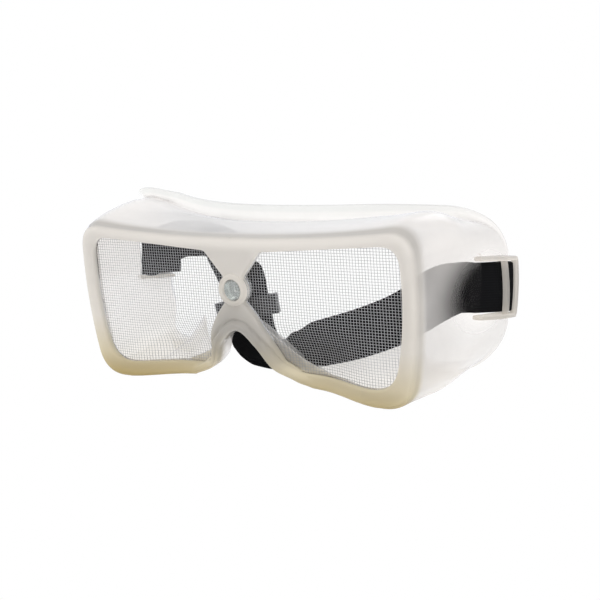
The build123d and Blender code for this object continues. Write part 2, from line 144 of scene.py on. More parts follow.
def outline(side, t, depth, inset):
    """The cup's outline on one side, as seen from the front. t: 0-1 crown, 1-2 top corner, 2-3
    side, 3-4 foot corner, 4-5 foot, 5-6 rise to the cheek, 6-9 the nose arch. Crown, corners and
    side are quadratic curves, the foot is straight and the arch is cubic. Sizes are mixed from
    rim to back by depth, and inset moves the line into the wall."""
    t, depth, inset = (np.asarray(v, float) for v in np.broadcast_arrays(t, depth, inset))
    width, crown_share, foot_share, nose, vault, shoulder = (
        through(depth, STATIONS, table) for table in (WIDTH, CROWN, FOOT, NOSE, VAULT, SHOULDER))
    crown = mix(*CROWN_TOP, crown_share) - inset
    rise = mix(*TEMPLE_RISE[side], foot_share) + SHOULDER_RISE * shoulder
    top = mix(*TEMPLE_OUT, width) - inset + 1j * (crown + rise)
    floor = np.maximum(mix(*FLOOR_UP, foot_share), 0) + inset
    foot = mix(*FOOT_OUT, width) - inset + 1j * floor
    middle = (top + foot) / 2 + 2 * mix(*SIDE_BULGE, width)
    pull = top.real / 2 + 1j * crown
    top_radius = mix(*TEMPLE_RADIUS, width) - inset
    foot_radius = mix(*FOOT_RADIUS, width) - inset
    top_in, top_out = toward(top, pull, top_radius), toward(top, middle, top_radius)
    inner_foot = mix(*FLOOR_END, nose) + 1j * floor
    foot_in, foot_out = toward(foot, middle, foot_radius), toward(foot, inner_foot, foot_radius)
    cheek = mix(*CHEEK_OUT, nose) + inset + 1j * (mix(*CHEEK_UP, vault) + inset)
    nose_foot = mix(*NOSE_OUT, nose) + inset + 1j * (mix(*NOSE_UP, vault) + inset)
    spring = mix(*SPRING_OUT, nose) + inset + 1j * (mix(*SPRING_UP, vault) + inset / 2)
    arch = 1j * (mix(*ARCH_UP, vault) + inset)
    slope_cheek = (nose_foot - cheek) / np.abs(nose_foot - cheek)
    slope_foot = shared_slope(cheek, nose_foot, spring)
    slope_spring = shared_slope(nose_foot, spring, arch)
    piece = np.clip(t.astype(int), 0, 8)
    u = t - piece
    return np.choose(piece, [
        bend(1j * crown, pull, top_in, u), bend(top_in, top, top_out, u),
        bend(top_out, middle, foot_in, u), bend(foot_in, foot, foot_out, u),
        mix(foot_out, inner_foot, u), mix(inner_foot, cheek, u),
        hermite(cheek, nose_foot, slope_cheek, slope_foot, np.abs(nose_foot - cheek), u),
        hermite(nose_foot, spring, slope_foot, slope_spring, np.abs(spring - nose_foot), u),
        hermite(spring, arch, slope_spring, -1.0 + 0j, np.abs(arch - spring), u)])


print("rim corners, right half, mm", np.round(outline(RIGHT, np.arange(10.0), 0, 0), 1))

# %% [markdown]
# ## Places beside the keepers
# The keepers are the frames on the side walls that the headband passes through. They are tilted, so
# places beside them are measured in their own tilted frame. An empty object as parent could carry
# that tilt, but a finished piece sits unturned at the origin, so the tilt goes into the points.
# %% Places beside the keepers
KEEPER_HEIGHT = {RIGHT: 35.6, LEFT: 43.5}
KEEPER_PIVOT = 51.0
TILT = math.radians(9.5)
KEEPER_UP = np.array((0.0, math.sin(TILT), math.cos(TILT)))


def keeper_way(x, depth):
    """A step outwards and backwards in the keepers' frame, turned down by the tilt."""
    return np.array((x, depth * math.cos(TILT), -depth * math.sin(TILT)))


def keeper_place(side, x, depth, rise=0.0):
    """A place beside one keeper: its distance out, its depth and its rise from the middle."""
    middle = np.array((0.0, FRONT_Y + KEEPER_PIVOT, KEEPER_HEIGHT[side]))
    return middle + keeper_way(side * x, depth - KEEPER_PIVOT) + KEEPER_UP * rise


print("pivot of the right keeper, mm", np.round(keeper_place(RIGHT, 0.0, KEEPER_PIVOT), 1))

# %% [markdown]
# ## Where the cup meets the face
# The back of the cup follows the face: shallow at the middle of the crown and at the nose, deep at
# the temples. A Boolean cut with a head would give this line but would leave a ragged edge. Here
# the line is a formula of the place in the outline, and each column of the wall ends where it
# meets that line.
# %% Face line
# FAR is a distance past all real ones.
FAR = 99.0
FACE_CROWN, FACE_NOSE = 37.0, 12.0
NOSE_REACH, NOSE_CEILING = 46.0, 50.0
# Tables of places as shares of the width or height, and how deep the cup is there, from 0 at the
# least depth to 1 at the full depth of the cup.
PLAN = ((0.0, 0.35, 0.6, 0.8, 0.93, 1.1), (0.0, 0.04, 0.2, 0.46, 0.78, 1.2))
NOSE_PLAN = ((0.0, 0.35, 0.62, 0.8, 0.92, 1.0, 1.2), (0.0, 0.0, 0.03, 0.25, 0.62, 1.0, 1.4))
PROFILE = ((-0.1, 0.0, 0.1, 0.22, 0.33, 0.5, 0.68, 0.84, 0.99, 1.13, 1.3),
           (0.6, 0.66, 0.79, 0.92, 0.985, 1.0, 0.975, 0.93, 0.86, 0.74, 0.6))
FACE_STEP = 0.25
FACE_STEPS = np.arange(6.0, 68.1, FACE_STEP)


def face_depth(place):
    """How deep the cup reaches at a place in its outline: the least of a curve across the brow,
    a curve up the profile and, below the brow, a curve across the nose."""
    x, z = place.real, place.imag
    brow = through(x / TEMPLE_OUT[1], PLAN[0], mix(FACE_CROWN, CUP_DEPTH, np.array(PLAN[1])))
    nose = through(x / NOSE_REACH, NOSE_PLAN[0], mix(FACE_NOSE, CUP_DEPTH, np.array(NOSE_PLAN[1])))
    profile = CUP_DEPTH * through(z / CROWN_TOP[0], *PROFILE)
    return np.minimum(np.minimum(brow, profile), np.where(z < NOSE_CEILING, nose, FAR))


def rim_to_face(side, t, inset):
    """The depth at which the outline at each t meets the face line. Depths are tried in steps,
    and the step that crosses the line is split in the ratio of the distances at its two ends."""
    depths = FACE_STEPS[:, None]
    over = depths - face_depth(outline(side, t[None, :], depths, inset))
    row = np.maximum(np.argmax(over > 0, axis=0), 1)
    column = np.arange(len(t))
    a, b = over[row - 1, column], over[row, column]
    return depths[row - 1, 0] + FACE_STEP * np.clip(a / (a - b), 0, 1)


print("depth at the crown, temple and foot, mm",
      np.round(rim_to_face(RIGHT, np.array((0.0, 1.5, 4.5)), 0), 1))

# %% [markdown]
# ## Meshes from arrays
# Every new surface is a grid of points, or several grids that share their edges. Adding points one
# by one in a loop is slow in Python, so `make_mesh` hands Blender whole arrays with `foreach_set`.
# `tidy_mesh` welds the seams and turns the normals outward, which the material needs because it
# treats the front and the back of a wall differently.
# %% Meshes from arrays
def quads(a, b, c, d):
    """Four-cornered faces from four equal blocks of point numbers."""
    return np.stack([np.asarray(v).ravel() for v in (a, b, c, d)], axis=1)


def strip(first, second):
    """The faces between two lines of point numbers."""
    return quads(first[:-1], first[1:], second[1:], second[:-1])


def grid_faces(numbers, closed_rows=False, closed_columns=False):
    """The faces of a grid of point numbers, which may close on itself either way."""
    if closed_rows:
        numbers = np.concatenate([numbers, numbers[:1]], axis=0)
    if closed_columns:
        numbers = np.concatenate([numbers, numbers[:, :1]], axis=1)
    return quads(numbers[:-1, :-1], numbers[1:, :-1], numbers[1:, 1:], numbers[:-1, 1:])


def joined(shapes):
    """Several (points, faces) shapes as one: each shape's faces count on from the last."""
    points, faces, count = [], [], 0
    for some_points, some_faces in shapes:
        points.append(some_points)
        faces.append(np.asarray(some_faces) + count)
        count += len(some_points)
    return np.concatenate(points), np.concatenate(faces)


def make_mesh(name, points, faces):
    """A smooth mesh object from points in millimetres and faces of four corners."""
    mesh = bpy.data.meshes.new(name)
    points = np.asarray(points, np.float64) * MM
    faces = np.asarray(faces, np.int64)
    mesh.vertices.add(len(points))
    mesh.vertices.foreach_set("co", points.ravel())
    mesh.loops.add(faces.size)
    mesh.loops.foreach_set("vertex_index", faces.ravel())
    mesh.polygons.add(len(faces))
    mesh.polygons.foreach_set("loop_start", np.arange(len(faces)) * faces.shape[1])
    mesh.polygons.foreach_set("use_smooth", np.ones(len(faces), bool))
    mesh.update(calc_edges=True)
    mesh.validate()
    piece = bpy.data.objects.new(name, mesh)
    bpy.context.scene.collection.objects.link(piece)
    return piece


def tidy_mesh(piece, weld=0.004):
    """Merge points closer than weld millimetres and turn the normals outward."""
    shape = bmesh.new()
    shape.from_mesh(piece.data)
    if weld:
        bmesh.ops.remove_doubles(shape, verts=shape.verts, dist=weld * MM)
        bmesh.ops.dissolve_degenerate(shape, edges=shape.edges, dist=weld * MM / 4)
    bmesh.ops.recalc_face_normals(shape, faces=shape.faces)
    shape.to_mesh(piece.data)
    open_edges = sum(not edge.is_manifold for edge in shape.edges)
    shape.free()
    triangles = sum(len(face.vertices) - 2 for face in piece.data.polygons)
    print(piece.name, "triangles", triangles, "open edges", open_edges)


print("faces of a 3 by 4 grid", len(grid_faces(np.arange(12).reshape(3, 4))))

# %% [markdown]
# ## Windows
# Each window is a rounded shape with a foot that rises to the nose. Its inner side runs up the nose
# rim, round the ring boss and out along the V-shaped tab. A Boolean could cut it from the rim, but
# then its edge would share no points with the rim. So `window_edge` gives the place on the window's
# edge that belongs to each t of the outline, and t = 9 to 10 is the column between the windows.
# The rim's front face is then one grid between two edges, and it can be rounded by a formula.
# %% Window edge
BOSS = 41.2j
BOSS_RADIUS, BOSS_BORE = 6.5, 4.3
RING_OPENING = 46.0
# The column's t: straight ends, and the stretch round the ring boss between them.
COLUMN_END = 0.3
COLUMN_RING = 1 - 2 * COLUMN_END
WINDOW_TOP_RADIUS, WINDOW_FOOT_RADIUS = 8.0, 10.0
WINDOW_BULGE, FOOT_SHORT = 3.6, 2.0


def ring_turn(u, opening):
    """Directions round the ring boss from -opening to opening degrees along the column."""
    turn = mix(-opening, opening, np.clip((u - COLUMN_END) / COLUMN_RING, 0, 1))
    return np.exp(1j * np.radians(turn))


def window_edge(t):
    """The window's edge beside each t of one half: 0-9 along the outline, 9-10 up the column.
    The corners and the outer side are quadratic curves, the ring boss an arc, the rest straight."""
    tab, top, foot = 13.4 + 56.3j, 73.8 + 60.5j, 69.2 + 6.9j
    inner, cheek, nose = 60 + 6.9j, 24.6 + 8.2j, 18.4 + 12.4j
    spring, neck = 14.6 + 22.5j, 9.4 + 31.0j
    side_pull = (top + foot) / 2 + WINDOW_BULGE
    piece = np.clip(t.astype(int), 0, 9)
    u = t - piece
    ring_low, ring, ring_high = (BOSS + BOSS_RADIUS * ring_turn(place, RING_OPENING)
                                 for place in (0.0, u, 1.0))
    above = (u - (1 - COLUMN_END)) / COLUMN_END
    column = np.where(u < COLUMN_END, mix(neck, ring_low, u / COLUMN_END),
                      np.where(u < 1 - COLUMN_END, ring, mix(ring_high, tab, above)))
    top_in, top_out = (toward(top, goal, WINDOW_TOP_RADIUS) for goal in (tab, side_pull))
    foot_in, foot_out = (toward(foot, goal, WINDOW_FOOT_RADIUS) for goal in (side_pull, inner))
    return np.choose(piece, [
        mix(tab, top_in, u), corner_arc(top, tab, side_pull, WINDOW_TOP_RADIUS, u),
        bend(top_out, side_pull, foot_in, u),
        corner_arc(foot, side_pull, inner, WINDOW_FOOT_RADIUS, u),
        mix(foot_out, inner - FOOT_SHORT, u), mix(inner - FOOT_SHORT, cheek, u),
        mix(cheek, nose, u), mix(nose, spring, u), mix(spring, neck, u), column])


print("window corners, mm", np.round(window_edge(np.arange(11.0)), 1))

# %% [markdown]
# ## Steps round one half
# A grid needs its rows and columns chosen: many where the form turns sharply, few where it runs
# straight. Subdivision could refine an even grid, but it would spend most points on the flat walls.
# The window's loop is calmed a little by averaging neighbours, so its corners look moulded.
# %% Steps round one half
# Steps on each piece of the outline and on each stretch of the column, and the shares of the way
# from the window's edge to the outer edge, which are closest where both edges are rounded.
STEPS = (64, 22, 48, 22, 5, 30, 18, 20, 26)
COLUMN_STEPS = (22, 30, 26)
WINDOW_CALM = 3
ACROSS = np.array((0, .008, .03, .06, .1, .15, .22, .3, .38, .46, .53, .59, .64, .69, .735, .775,
                   .81, .845, .88, .91, .94, .965, .985, 1.0))

t_round = np.append(np.concatenate([np.linspace(k, k + 1, steps, endpoint=False)
                                    for k, steps in enumerate(STEPS)]), 9.0)
t_column = 9 + np.concatenate([
    np.linspace(0, COLUMN_END, COLUMN_STEPS[0], endpoint=False),
    np.linspace(COLUMN_END, 1 - COLUMN_END, COLUMN_STEPS[1], endpoint=False),
    np.linspace(1 - COLUMN_END, 1.0, COLUMN_STEPS[2])])
column_share = t_column - 9
window_loop = np.concatenate([window_edge(t_round), window_edge(t_column)[1:-1]])
for _ in range(WINDOW_CALM):
    window_loop = (np.roll(window_loop, 1) + 2 * window_loop + np.roll(window_loop, -1)) / 4
window_loop = np.append(window_loop, window_loop[0])
window_round = window_loop[:len(t_round)]
window_column = window_loop[len(t_round) - 1:]
print("columns round one half", len(t_round), "and up the column", len(t_column))

# %% [markdown]
# ## Cup: front face of the rim
# The rim is a thick soft frame with rounded edges, and a raised double bead runs round the nose
# notch and fades out along the foot. A bevel and a swept bead could make it, but a bead can't fade
# that way. So the front is a height field: its depth is a formula of the distances to the outer
# edge, to the window and to the nose notch, and all edges stay soft where they meet.
# %% Front face of the rim
EDGE_ROUND, WINDOW_ROUND, BORE_ROUND = 1.7, 0.9, 0.5
NOSE_LINE_START = 5.4
BEAD_HEIGHT, BEAD_EDGE = 1.8, (2.6, 3.9)
GROOVE_DEPTH, GROOVE_REACH, GROOVE_WIDTH = 0.5, 4.0, 0.45
RIDGE_HEIGHT, RIDGE_REACH, RIDGE_WIDTH = 0.25, 5.1, 0.6
BEAD_OUT, BEAD_FADE, BEAD_CEILING = 31.0, 7.0, 40.0


def nearest(places, edge):
    """The distance from each place to a line of edge points: the least over its segments. On a
    segment, the nearest point is as far along as the place's shadow falls on it."""
    spans, offsets = np.diff(edge), places[..., None] - edge[:-1]
    lengths = np.maximum(np.abs(spans)**2, 1e-9)
    along = np.clip((offsets * np.conj(spans)).real / lengths, 0, 1)
    return np.abs(offsets - along * spans).min(axis=-1)


def round_over(radius, distance):
    """How far a quarter-round edge has dropped at a distance from it."""
    gap = radius - np.minimum(distance, radius)
    return radius - np.sqrt(np.maximum(radius**2 - gap**2, 0))


def with_mirror(line):
    """A line of one half, followed by its mirror image in the middle plane."""
    return np.concatenate([line, -np.conj(line[::-1])])


def column_edge(bottom, top):
    """The inner edge of the column's grid: the middle plane, and a half circle round the bore."""
    u = column_share
    below = 1j * mix(bottom, BOSS.imag - BOSS_BORE, u / COLUMN_END)
    above = 1j * mix(BOSS.imag + BOSS_BORE, top, (u - (1 - COLUMN_END)) / COLUMN_END)
    bore = BOSS + BOSS_BORE * ring_turn(u, 90)
    return np.where(u < COLUMN_END, below, np.where(u <= 1 - COLUMN_END, bore, above))


def nose_bead(place, nose_line):
    """How far the rim is raised beside the nose: a soft step for the bead, a bell curve down for
    the groove and one up for the ridge, by the distance from the nose line."""
    reach = nearest(place, nose_line)
    fade = smooth(BEAD_OUT - np.abs(place.real), 0, BEAD_FADE) * (place.imag < BEAD_CEILING)
    bead = 1 - smooth(reach, *BEAD_EDGE)
    groove = np.exp(-((reach - GROOVE_REACH) / GROOVE_WIDTH)**2)
    ridge = np.exp(-((reach - RIDGE_REACH) / RIDGE_WIDTH)**2)
    return fade * (BEAD_HEIGHT * bead - GROOVE_DEPTH * groove + RIDGE_HEIGHT * ridge)


def front_face(side):
    """The front face of one half: [places, depths] round the window and up the column. Rows run
    from the window's edge to the outer edge, or to the middle plane in the column."""
    edge_round = outline(side, t_round, 0, 0)
    edge_column = column_edge(edge_round[-1].imag, edge_round[0].imag)
    outer_line = with_mirror(edge_round)
    nose_line = with_mirror(edge_round[t_round >= NOSE_LINE_START])
    grids = []
    for window, edge in ((window_round, edge_round), (window_column, edge_column)):
        place = mix(window[None, :], edge[None, :], ACROSS[:, None])
        depth = round_over(EDGE_ROUND, nearest(place, outer_line))
        depth = depth + round_over(WINDOW_ROUND, nearest(place, window_loop))
        grids.append([place, depth - nose_bead(place, nose_line)])
    near_bore = np.abs(grids[1][0] - BOSS) - BOSS_BORE
    grids[1][1] = grids[1][1] + round_over(BORE_ROUND, np.maximum(near_bore, 0))
    return grids


fronts = {side: front_face(side) for side in SIDES}
(_, right_depth), _ = fronts[RIGHT]
print("depth of the right front face, mm", np.round((right_depth.min(), right_depth.max()), 2))

# %% [markdown]
# ## Cup: wall and lip
# The thin wall ends in an outward lip that lies on the face. On the real cup the lip is wide round
# the crown and the foot, narrow at the corners and the sides, and a waist in front of it lets it
# flex. Solidify could thicken a surface into a wall, but not into a lip of changing width. So the
# whole cut of the wall is a list of rows: outer wall, lip, inner wall, and the ledge and groove
# that hold the mesh. Each row is the outline at its own depth and inset.
# %% Lip width
SIDE_OUT = 75.0
WALL = 2.0
LIP_WIDTH, LIP_THICKNESS, LIP_SLIM = 4.5, 2.2, 0.16
# Where along t the crown's lip narrows on each side, and where the foot's lip widens again.
LIP_TAPER, LIP_FOOT = {RIGHT: (0.45, 1.95), LEFT: (1.3, 2.4)}, (3.7, 4.15)
# Low down there is no lip near the middle: the steps up and out where it begins. LIP_GAP is the
# step away from the middle of a keeper, behind which the wall has no lip either.
LIP_UP, LIP_OUT, LIP_GAP = (45, 55), (50, 58), (11.0, 14.0)
BACK_DEPTH = 60.0


def lip_width(side):
    """The lip's width along the outline: the full width times soft steps of t, of the distance
    from the keeper, and of the height and distance out at the back of the cup."""
    place = backs[side]
    away = np.abs(place.imag - KEEPER_HEIGHT[side]) + FAR * (place.real < SIDE_OUT)
    low = 1 - smooth(place.imag, *LIP_UP)
    full = np.maximum(1 - smooth(t_round, *LIP_TAPER[side]), smooth(t_round, *LIP_FOOT))
    lip = LIP_WIDTH * mix(LIP_SLIM, 1.0, full) * smooth(away, *LIP_GAP)
    return lip * (1 - low * (1 - smooth(place.real, *LIP_OUT)))


backs = {side: outline(side, t_round, BACK_DEPTH, 0) for side in SIDES}
lips = {side: lip_width(side) for side in SIDES}
some_columns = np.searchsorted(t_round, (0.0, 1.5, 3.0, 4.5))
print("lip width at the crown, temple, side and foot, mm", np.round(lips[RIGHT][some_columns], 1))

# %% [markdown]
# ## Cup: rows of the wall
# Where the face line turns sharply, neighbouring columns would end at uneven depths and the lip
# would look torn. A smooth modifier would round the whole cup, so only the list of end depths is
# calmed, by moving each value half-way to the mean of its neighbours many times.
# %% Rows of the wall
CALM_TURNS, CALM_ALL = 60, 4
CALM_START, CALM_END = (4.2, 5.2), (8.6, 9.0)
WAIST, WAIST_MIDDLE = {RIGHT: 3.4, LEFT: 1.6}, 2.4
WAIST_GROWS, WAIST_ENDS, WAIST_DEPTHS = (0.1, 0.8), (0.95, 1.7), (-15.0, -3.0)
WALL_START, LIP_EASE = 8.0, 0.9
SHEET_BACK, SHEET_INSET = 2.85, 2.45
# 25 steps along the wall, two of them moved to the front and back edge of the strap's slot.
WALL_SHARES = np.linspace(0, 1, 25)
WALL_SHARES[[13, 22]] = 0.574, 0.9
# The lip's front face as (drop, share out, share of the lip's tint), its round edge as angles and
# the share of its width that the edge takes, and its rear face as shares out.
LIP_FRONT = ((0.5, 0.08, 0.5), (0.2, 0.25, 0.5), (0.0, 0.5, 1.0), (0.0, 0.8, 1.0))
LIP_EDGE, LIP_TIP = np.radians((-60, -30, 0, 30, 60)), 0.14
LIP_REAR, LIP_MIDDLE = 0.8, 0.4
# The wall's rear edge as (drop, inset), from the outer and from the inner face line.
REAR_OUTER, REAR_INNER = ((0.05, 0.3), (0.15, WALL / 2)), ((0.3, WALL - 0.3), (LIP_EASE, WALL))
# Depth and inset of the ledge and the groove behind the rim.
LEDGE = ((7.4, 2.3), (6.8, 3.1), (6.3, 4.2), (5.9, 4.8), (5.2, 5.0), (4.4, 5.0), (4.0, 4.9),
         (3.95, 3.6), (3.95, SHEET_INSET), (SHEET_BACK, SHEET_INSET))


def calmed(values):
    """Values moved half-way to their neighbours' mean many times: all of them in the first turns
    and only those along the foot and nose arch after that."""
    steady = smooth(t_round, *CALM_START) * (1 - smooth(t_round, *CALM_END))
    for turn in range(CALM_TURNS):
        share = 0.5 * (steady[1:-1] if turn >= CALM_ALL else 1.0)
        values[1:-1] = mix(values[1:-1], (values[:-2] + values[2:]) / 2, share)
    return values


def wall_rows(side, start):
    """The rows of one half behind its front face, from the front face's outer edge at depth start
    to the mesh groove: places, depths, and each point's share of the lip. Also the number of the
    first row of the outer wall and of the inner wall."""
    face_out, face_mid, face_in = (calmed(rim_to_face(side, t_round, inset))
                                   for inset in (-LIP_WIDTH, 0, WALL))
    lip = lips[side]
    thick = np.minimum(LIP_THICKNESS, lip)
    lip_back = mix(face_mid, face_out, lip / LIP_WIDTH)
    wall_end = face_mid - thick - LIP_EASE
    rows = [(mix(start, WALL_START, share), 0, 0) for share in (0.25, 0.5, 0.75)]
    outer = len(rows)
    rows += [(mix(WALL_START, wall_end, share), 0, 0) for share in WALL_SHARES]
    rows += [(lip_back - thick - drop * (1 - out), -lip * out, tinted)
             for drop, out, tinted in LIP_FRONT]
    rows += [(lip_back - thick / 2 + thick / 2 * np.sin(angle),
              -lip * (1 - LIP_TIP + LIP_TIP * np.cos(angle)), 1) for angle in LIP_EDGE]
    rows += [(lip_back, -lip * LIP_REAR, 1),
             (mix(face_mid, lip_back, 0.5), -lip * LIP_MIDDLE, 1)]
    rows += [(face_mid - drop, inset, 0) for drop, inset in REAR_OUTER]
    rows += [(face_in - drop, inset, 0) for drop, inset in REAR_INNER]
    inner = len(rows)
    rows += [(np.minimum(wall_end, face_in - 1.0), WALL, 0)]
    rows += [(mix(WALL_START, wall_end, share), WALL, 0) for share in WALL_SHARES[-2::-1]]
    rows += [(depth, inset, 0) for depth, inset in LEDGE]
    waist = mix(WAIST_MIDDLE, WAIST[side], smooth(t_round, *WAIST_GROWS))
    waist = waist * (1 - smooth(t_round, *WAIST_ENDS))
    places, depths, tints = [], [], []
    for depth, inset, tinted in rows:
        pinch = waist * smooth(depth - face_mid, *WAIST_DEPTHS) * (inset >= 0)
        places.append(outline(side, t_round, depth, inset + pinch))
        depths.append(depth * np.ones(len(t_round)))
        tints.append(tinted * lip / LIP_WIDTH)
    return np.array(places), np.array(depths), np.array(tints), outer, inner


walls = {side: wall_rows(side, fronts[side][0][1][-1]) for side in SIDES}
wall_places, wall_depths = walls[RIGHT][:2]
print("rows of the wall", len(wall_places), "deepest, mm", round(float(wall_depths.max()), 1))

# %% [markdown]
# ## Cup: the strap's slot and the two halves
# A slot in each side wall lets the headband out beside its keeper. A Boolean would leave long thin
# faces round it. Instead a block of the grid's faces is left out of the outer and of the inner
# wall, and four strips join the two openings. Round the keeper the grid is turned by the keeper's
# tilt, so that the slot stands as the keeper does. The halves weld on the middle plane.
# %% Slot and halves
SLOT_UP, SLOT_DEPTHS = 11.3, (40.2, 58.5)
TILT_REACH, TILT_OUT = (17, 32), 72
MIDDLE_GAP = 0.004


def slotted_wall(side, numbers, depths, outer, inner):
    """The faces of the wall's grid without the slot, and the four strips that line the slot. The
    slot is the block of columns within SLOT_UP of the keeper's middle, between two rows."""
    near = np.abs(backs[side].imag - KEEPER_HEIGHT[side]) < SLOT_UP
    columns = np.flatnonzero(near & (backs[side].real > SIDE_OUT))
    left, right = columns[0], columns[-1]
    middle = depths[outer:outer + len(WALL_SHARES), (left + right) // 2]
    front, back = (np.argmin(np.abs(middle - place)) for place in SLOT_DEPTHS)
    last = inner + len(WALL_SHARES) - 1
    keep = np.ones((len(numbers), len(t_round) - 1), bool)
    keep[outer + front:outer + back, left:right] = False
    keep[last - back:last - front, left:right] = False
    outside = numbers[outer + front:outer + back + 1, left:right + 1]
    inside = numbers[last - back:last - front + 1, left:right + 1][::-1]
    faces = grid_faces(numbers, closed_rows=True)[keep.ravel()]
    return [faces, strip(outside[0], inside[0]), strip(outside[-1], inside[-1]),
            strip(outside[:, 0], inside[:, 0]), strip(outside[:, -1], inside[:, -1])]


def turned_at_keeper(side, places, depths):
    """Side-wall places and depths turned about the keeper's middle by its tilt, which fades out
    with the distance from there."""
    back_way, rise = depths - KEEPER_PIVOT, places.imag - KEEPER_HEIGHT[side]
    near = 1 - smooth(np.hypot(back_way, rise), *TILT_REACH)
    turn = TILT * near * (places.real > TILT_OUT)
    return (KEEPER_HEIGHT[side] + rise * np.cos(turn) - back_way * np.sin(turn),
            KEEPER_PIVOT + back_way * np.cos(turn) + rise * np.sin(turn))


def half_cup(side):
    """One half of the cup: its points, its faces and each point's share of the lip. The wall's
    rows close into a ring with the front face's. The column has a front grid and a back grid,
    joined along the window's edge and through the bore of the ring boss."""
    (front_place, front_depth), (column_place, column_depth) = fronts[side]
    wall_place, wall_depth, wall_lip, outer, inner = walls[side]
    back_edge = outline(side, t_round, SHEET_BACK, SHEET_INSET)
    back_column = column_edge(back_edge[-1].imag, back_edge[0].imag)
    back_place = np.array([mix(window_round, back_edge, share) for share in (0.75, 0.5, 0.25, 0.0)])
    column_back = mix(window_column[None, :], back_column[None, :], np.linspace(0, 1, 5)[:, None])

    ring_place = np.concatenate([front_place, wall_place, back_place])
    ring_depth = np.concatenate([front_depth, wall_depth, np.full(back_place.shape, SHEET_BACK)])
    grids = [(ring_place, ring_depth), (column_place, column_depth),
             (column_back, np.full(column_back.shape, SHEET_BACK))]
    places = np.concatenate([place.ravel() for place, _ in grids])
    depths = np.concatenate([depth.ravel() for _, depth in grids])
    lip_share = np.zeros(len(places))
    first = front_place.size
    lip_share[first:first + wall_lip.size] = wall_lip.ravel()

    starts = np.cumsum([0] + [place.size for place, _ in grids[:-1]])
    ring, column, column_rear = (start + np.arange(place.size).reshape(place.shape)
                                 for start, (place, _) in zip(starts, grids))
    wall_first = len(front_place)
    faces = slotted_wall(side, ring, ring_depth, wall_first + outer, wall_first + inner)
    faces += [grid_faces(column), grid_faces(column_rear), strip(column[0], column_rear[0])]
    bore = (column_share >= COLUMN_END) & (column_share <= 1 - COLUMN_END)
    faces.append(strip(column[-1, bore], column_rear[-1, bore]))

    x = np.where(places.real < MIDDLE_GAP, 0.0, places.real) * side
    height, depths = turned_at_keeper(side, places, depths)
    points = np.stack([x, FRONT_Y + depths, np.maximum(height, 0.0)], axis=1)
    return points, np.concatenate(faces), lip_share


halves = [half_cup(side) for side in SIDES]
cup_points, cup_faces = joined([half[:2] for half in halves])
print("cup points", len(cup_points), "faces", len(cup_faces))

# %% [markdown]
# ## Ring boss, and a way to sweep bars
# The ring boss stands proud of the tab and holds the clear button. It is part of the same moulding.
# A Boolean could blend it in, but a closed shape that sinks into the tab looks the same and keeps a
# clean grid, so it is a profile turned round the button's axis, as Spin does. The bars of the
# keepers and the stitches need the other classic way, a section swept along a line.
# %% Turned ring and swept bars
RING_PROFILE = ((4.3, 1.2), (4.3, -0.7), (4.45, -1.15), (4.8, -1.38), (5.3, -1.42), (5.8, -1.35),
                (6.25, -1.05), (6.45, -0.5), (6.5, 0.2), (6.5, 1.2), (5.4, 1.3))


def turned_ring(profile, count=72):
    """A ring round the boss's axis: each (radius, depth) of a closed profile makes a circle."""
    angles = np.linspace(0, 2 * np.pi, count, endpoint=False)
    radius, depth = np.array(profile).T
    x = radius[:, None] * np.cos(angles)[None, :]
    z = BOSS.imag + radius[:, None] * np.sin(angles)[None, :]
    y = FRONT_Y + depth[:, None] + 0 * x
    points = np.stack([x, y, z], axis=-1).reshape(-1, 3)
    numbers = np.arange(len(points)).reshape(x.shape)
    return points, grid_faces(numbers, closed_rows=True, closed_columns=True)


def swept(centres, across, out, half_across, half_out, roundness=4.0, count=28):
    """A closed bar along centres. Each cut is a superellipse along across and out: cosine and
    sine to the power 2 / roundness, which is an ellipse at 2 and nearly a box at 4."""
    angles = np.linspace(0, 2 * np.pi, count, endpoint=False)
    c, s = np.cos(angles), np.sin(angles)
    a = np.sign(c) * np.abs(c)**(2 / roundness)
    b = np.sign(s) * np.abs(s)**(2 / roundness)
    cuts = (centres[:, None, :] + across[:, None, :] * (half_across[:, None] * a)[..., None]
            + out[:, None, :] * (half_out[:, None] * b)[..., None])
    numbers = np.arange(len(centres) * count).reshape(len(centres), count)
    faces = [grid_faces(numbers, closed_columns=True)]
    points = [cuts.reshape(-1, 3)]
    total = len(points[0])
    half = count // 2
    for end, ring in ((0, numbers[0]), (-1, numbers[-1])):
        middle = cuts[end].mean(axis=0)
        for share in (0.6, 0.25):
            points.append(mix(middle, cuts[end], share))
            fresh = total + np.arange(count)
            total += count
            faces.append(grid_faces(np.stack([ring, fresh]), closed_columns=True))
            ring = fresh
        faces.append(strip(ring[:half], ring[half:][::-1]))
    return np.concatenate(points), np.concatenate(faces)


def tapered(length, cap):
    """Sizes along a bar: 1, and a quarter of an ellipse down to a half over cap at both ends."""
    gap = 1 - np.clip(np.minimum(length, length[-1] - length) / cap, 0, 1)
    return np.sqrt(np.maximum(1 - 0.75 * gap**2, 0))


print("ring boss points", len(turned_ring(RING_PROFILE)[0]))

# %% [markdown]
# ## Keepers
# Each keeper is two arms on the side wall with a middle bar and a rear rim across them. The
# headband goes out through the slot, round the rear edge of the wall and back in. One extruded
# frame would have the same width all round, so each of the four bars is swept on its own and sinks
# into the next, with soft ends.
# %% Keepers
KEEPER_REACH = 11.4
ARM_RISE, ARM_HALF, ARM_CAP = 11.05, 0.95, 1.4
ARM_DEPTHS, ARM_INNER, ARM_OUTER = (39.9, 63.6), 82.2, 86.0
ARM_FLARE, ARM_FLARE_DEPTHS = 4.8, (36.0, 54.5)
ARM_DROP, ARM_DROP_DEPTHS = 0.9, (61.0, 65.5)
BAR_CAP = 1.0
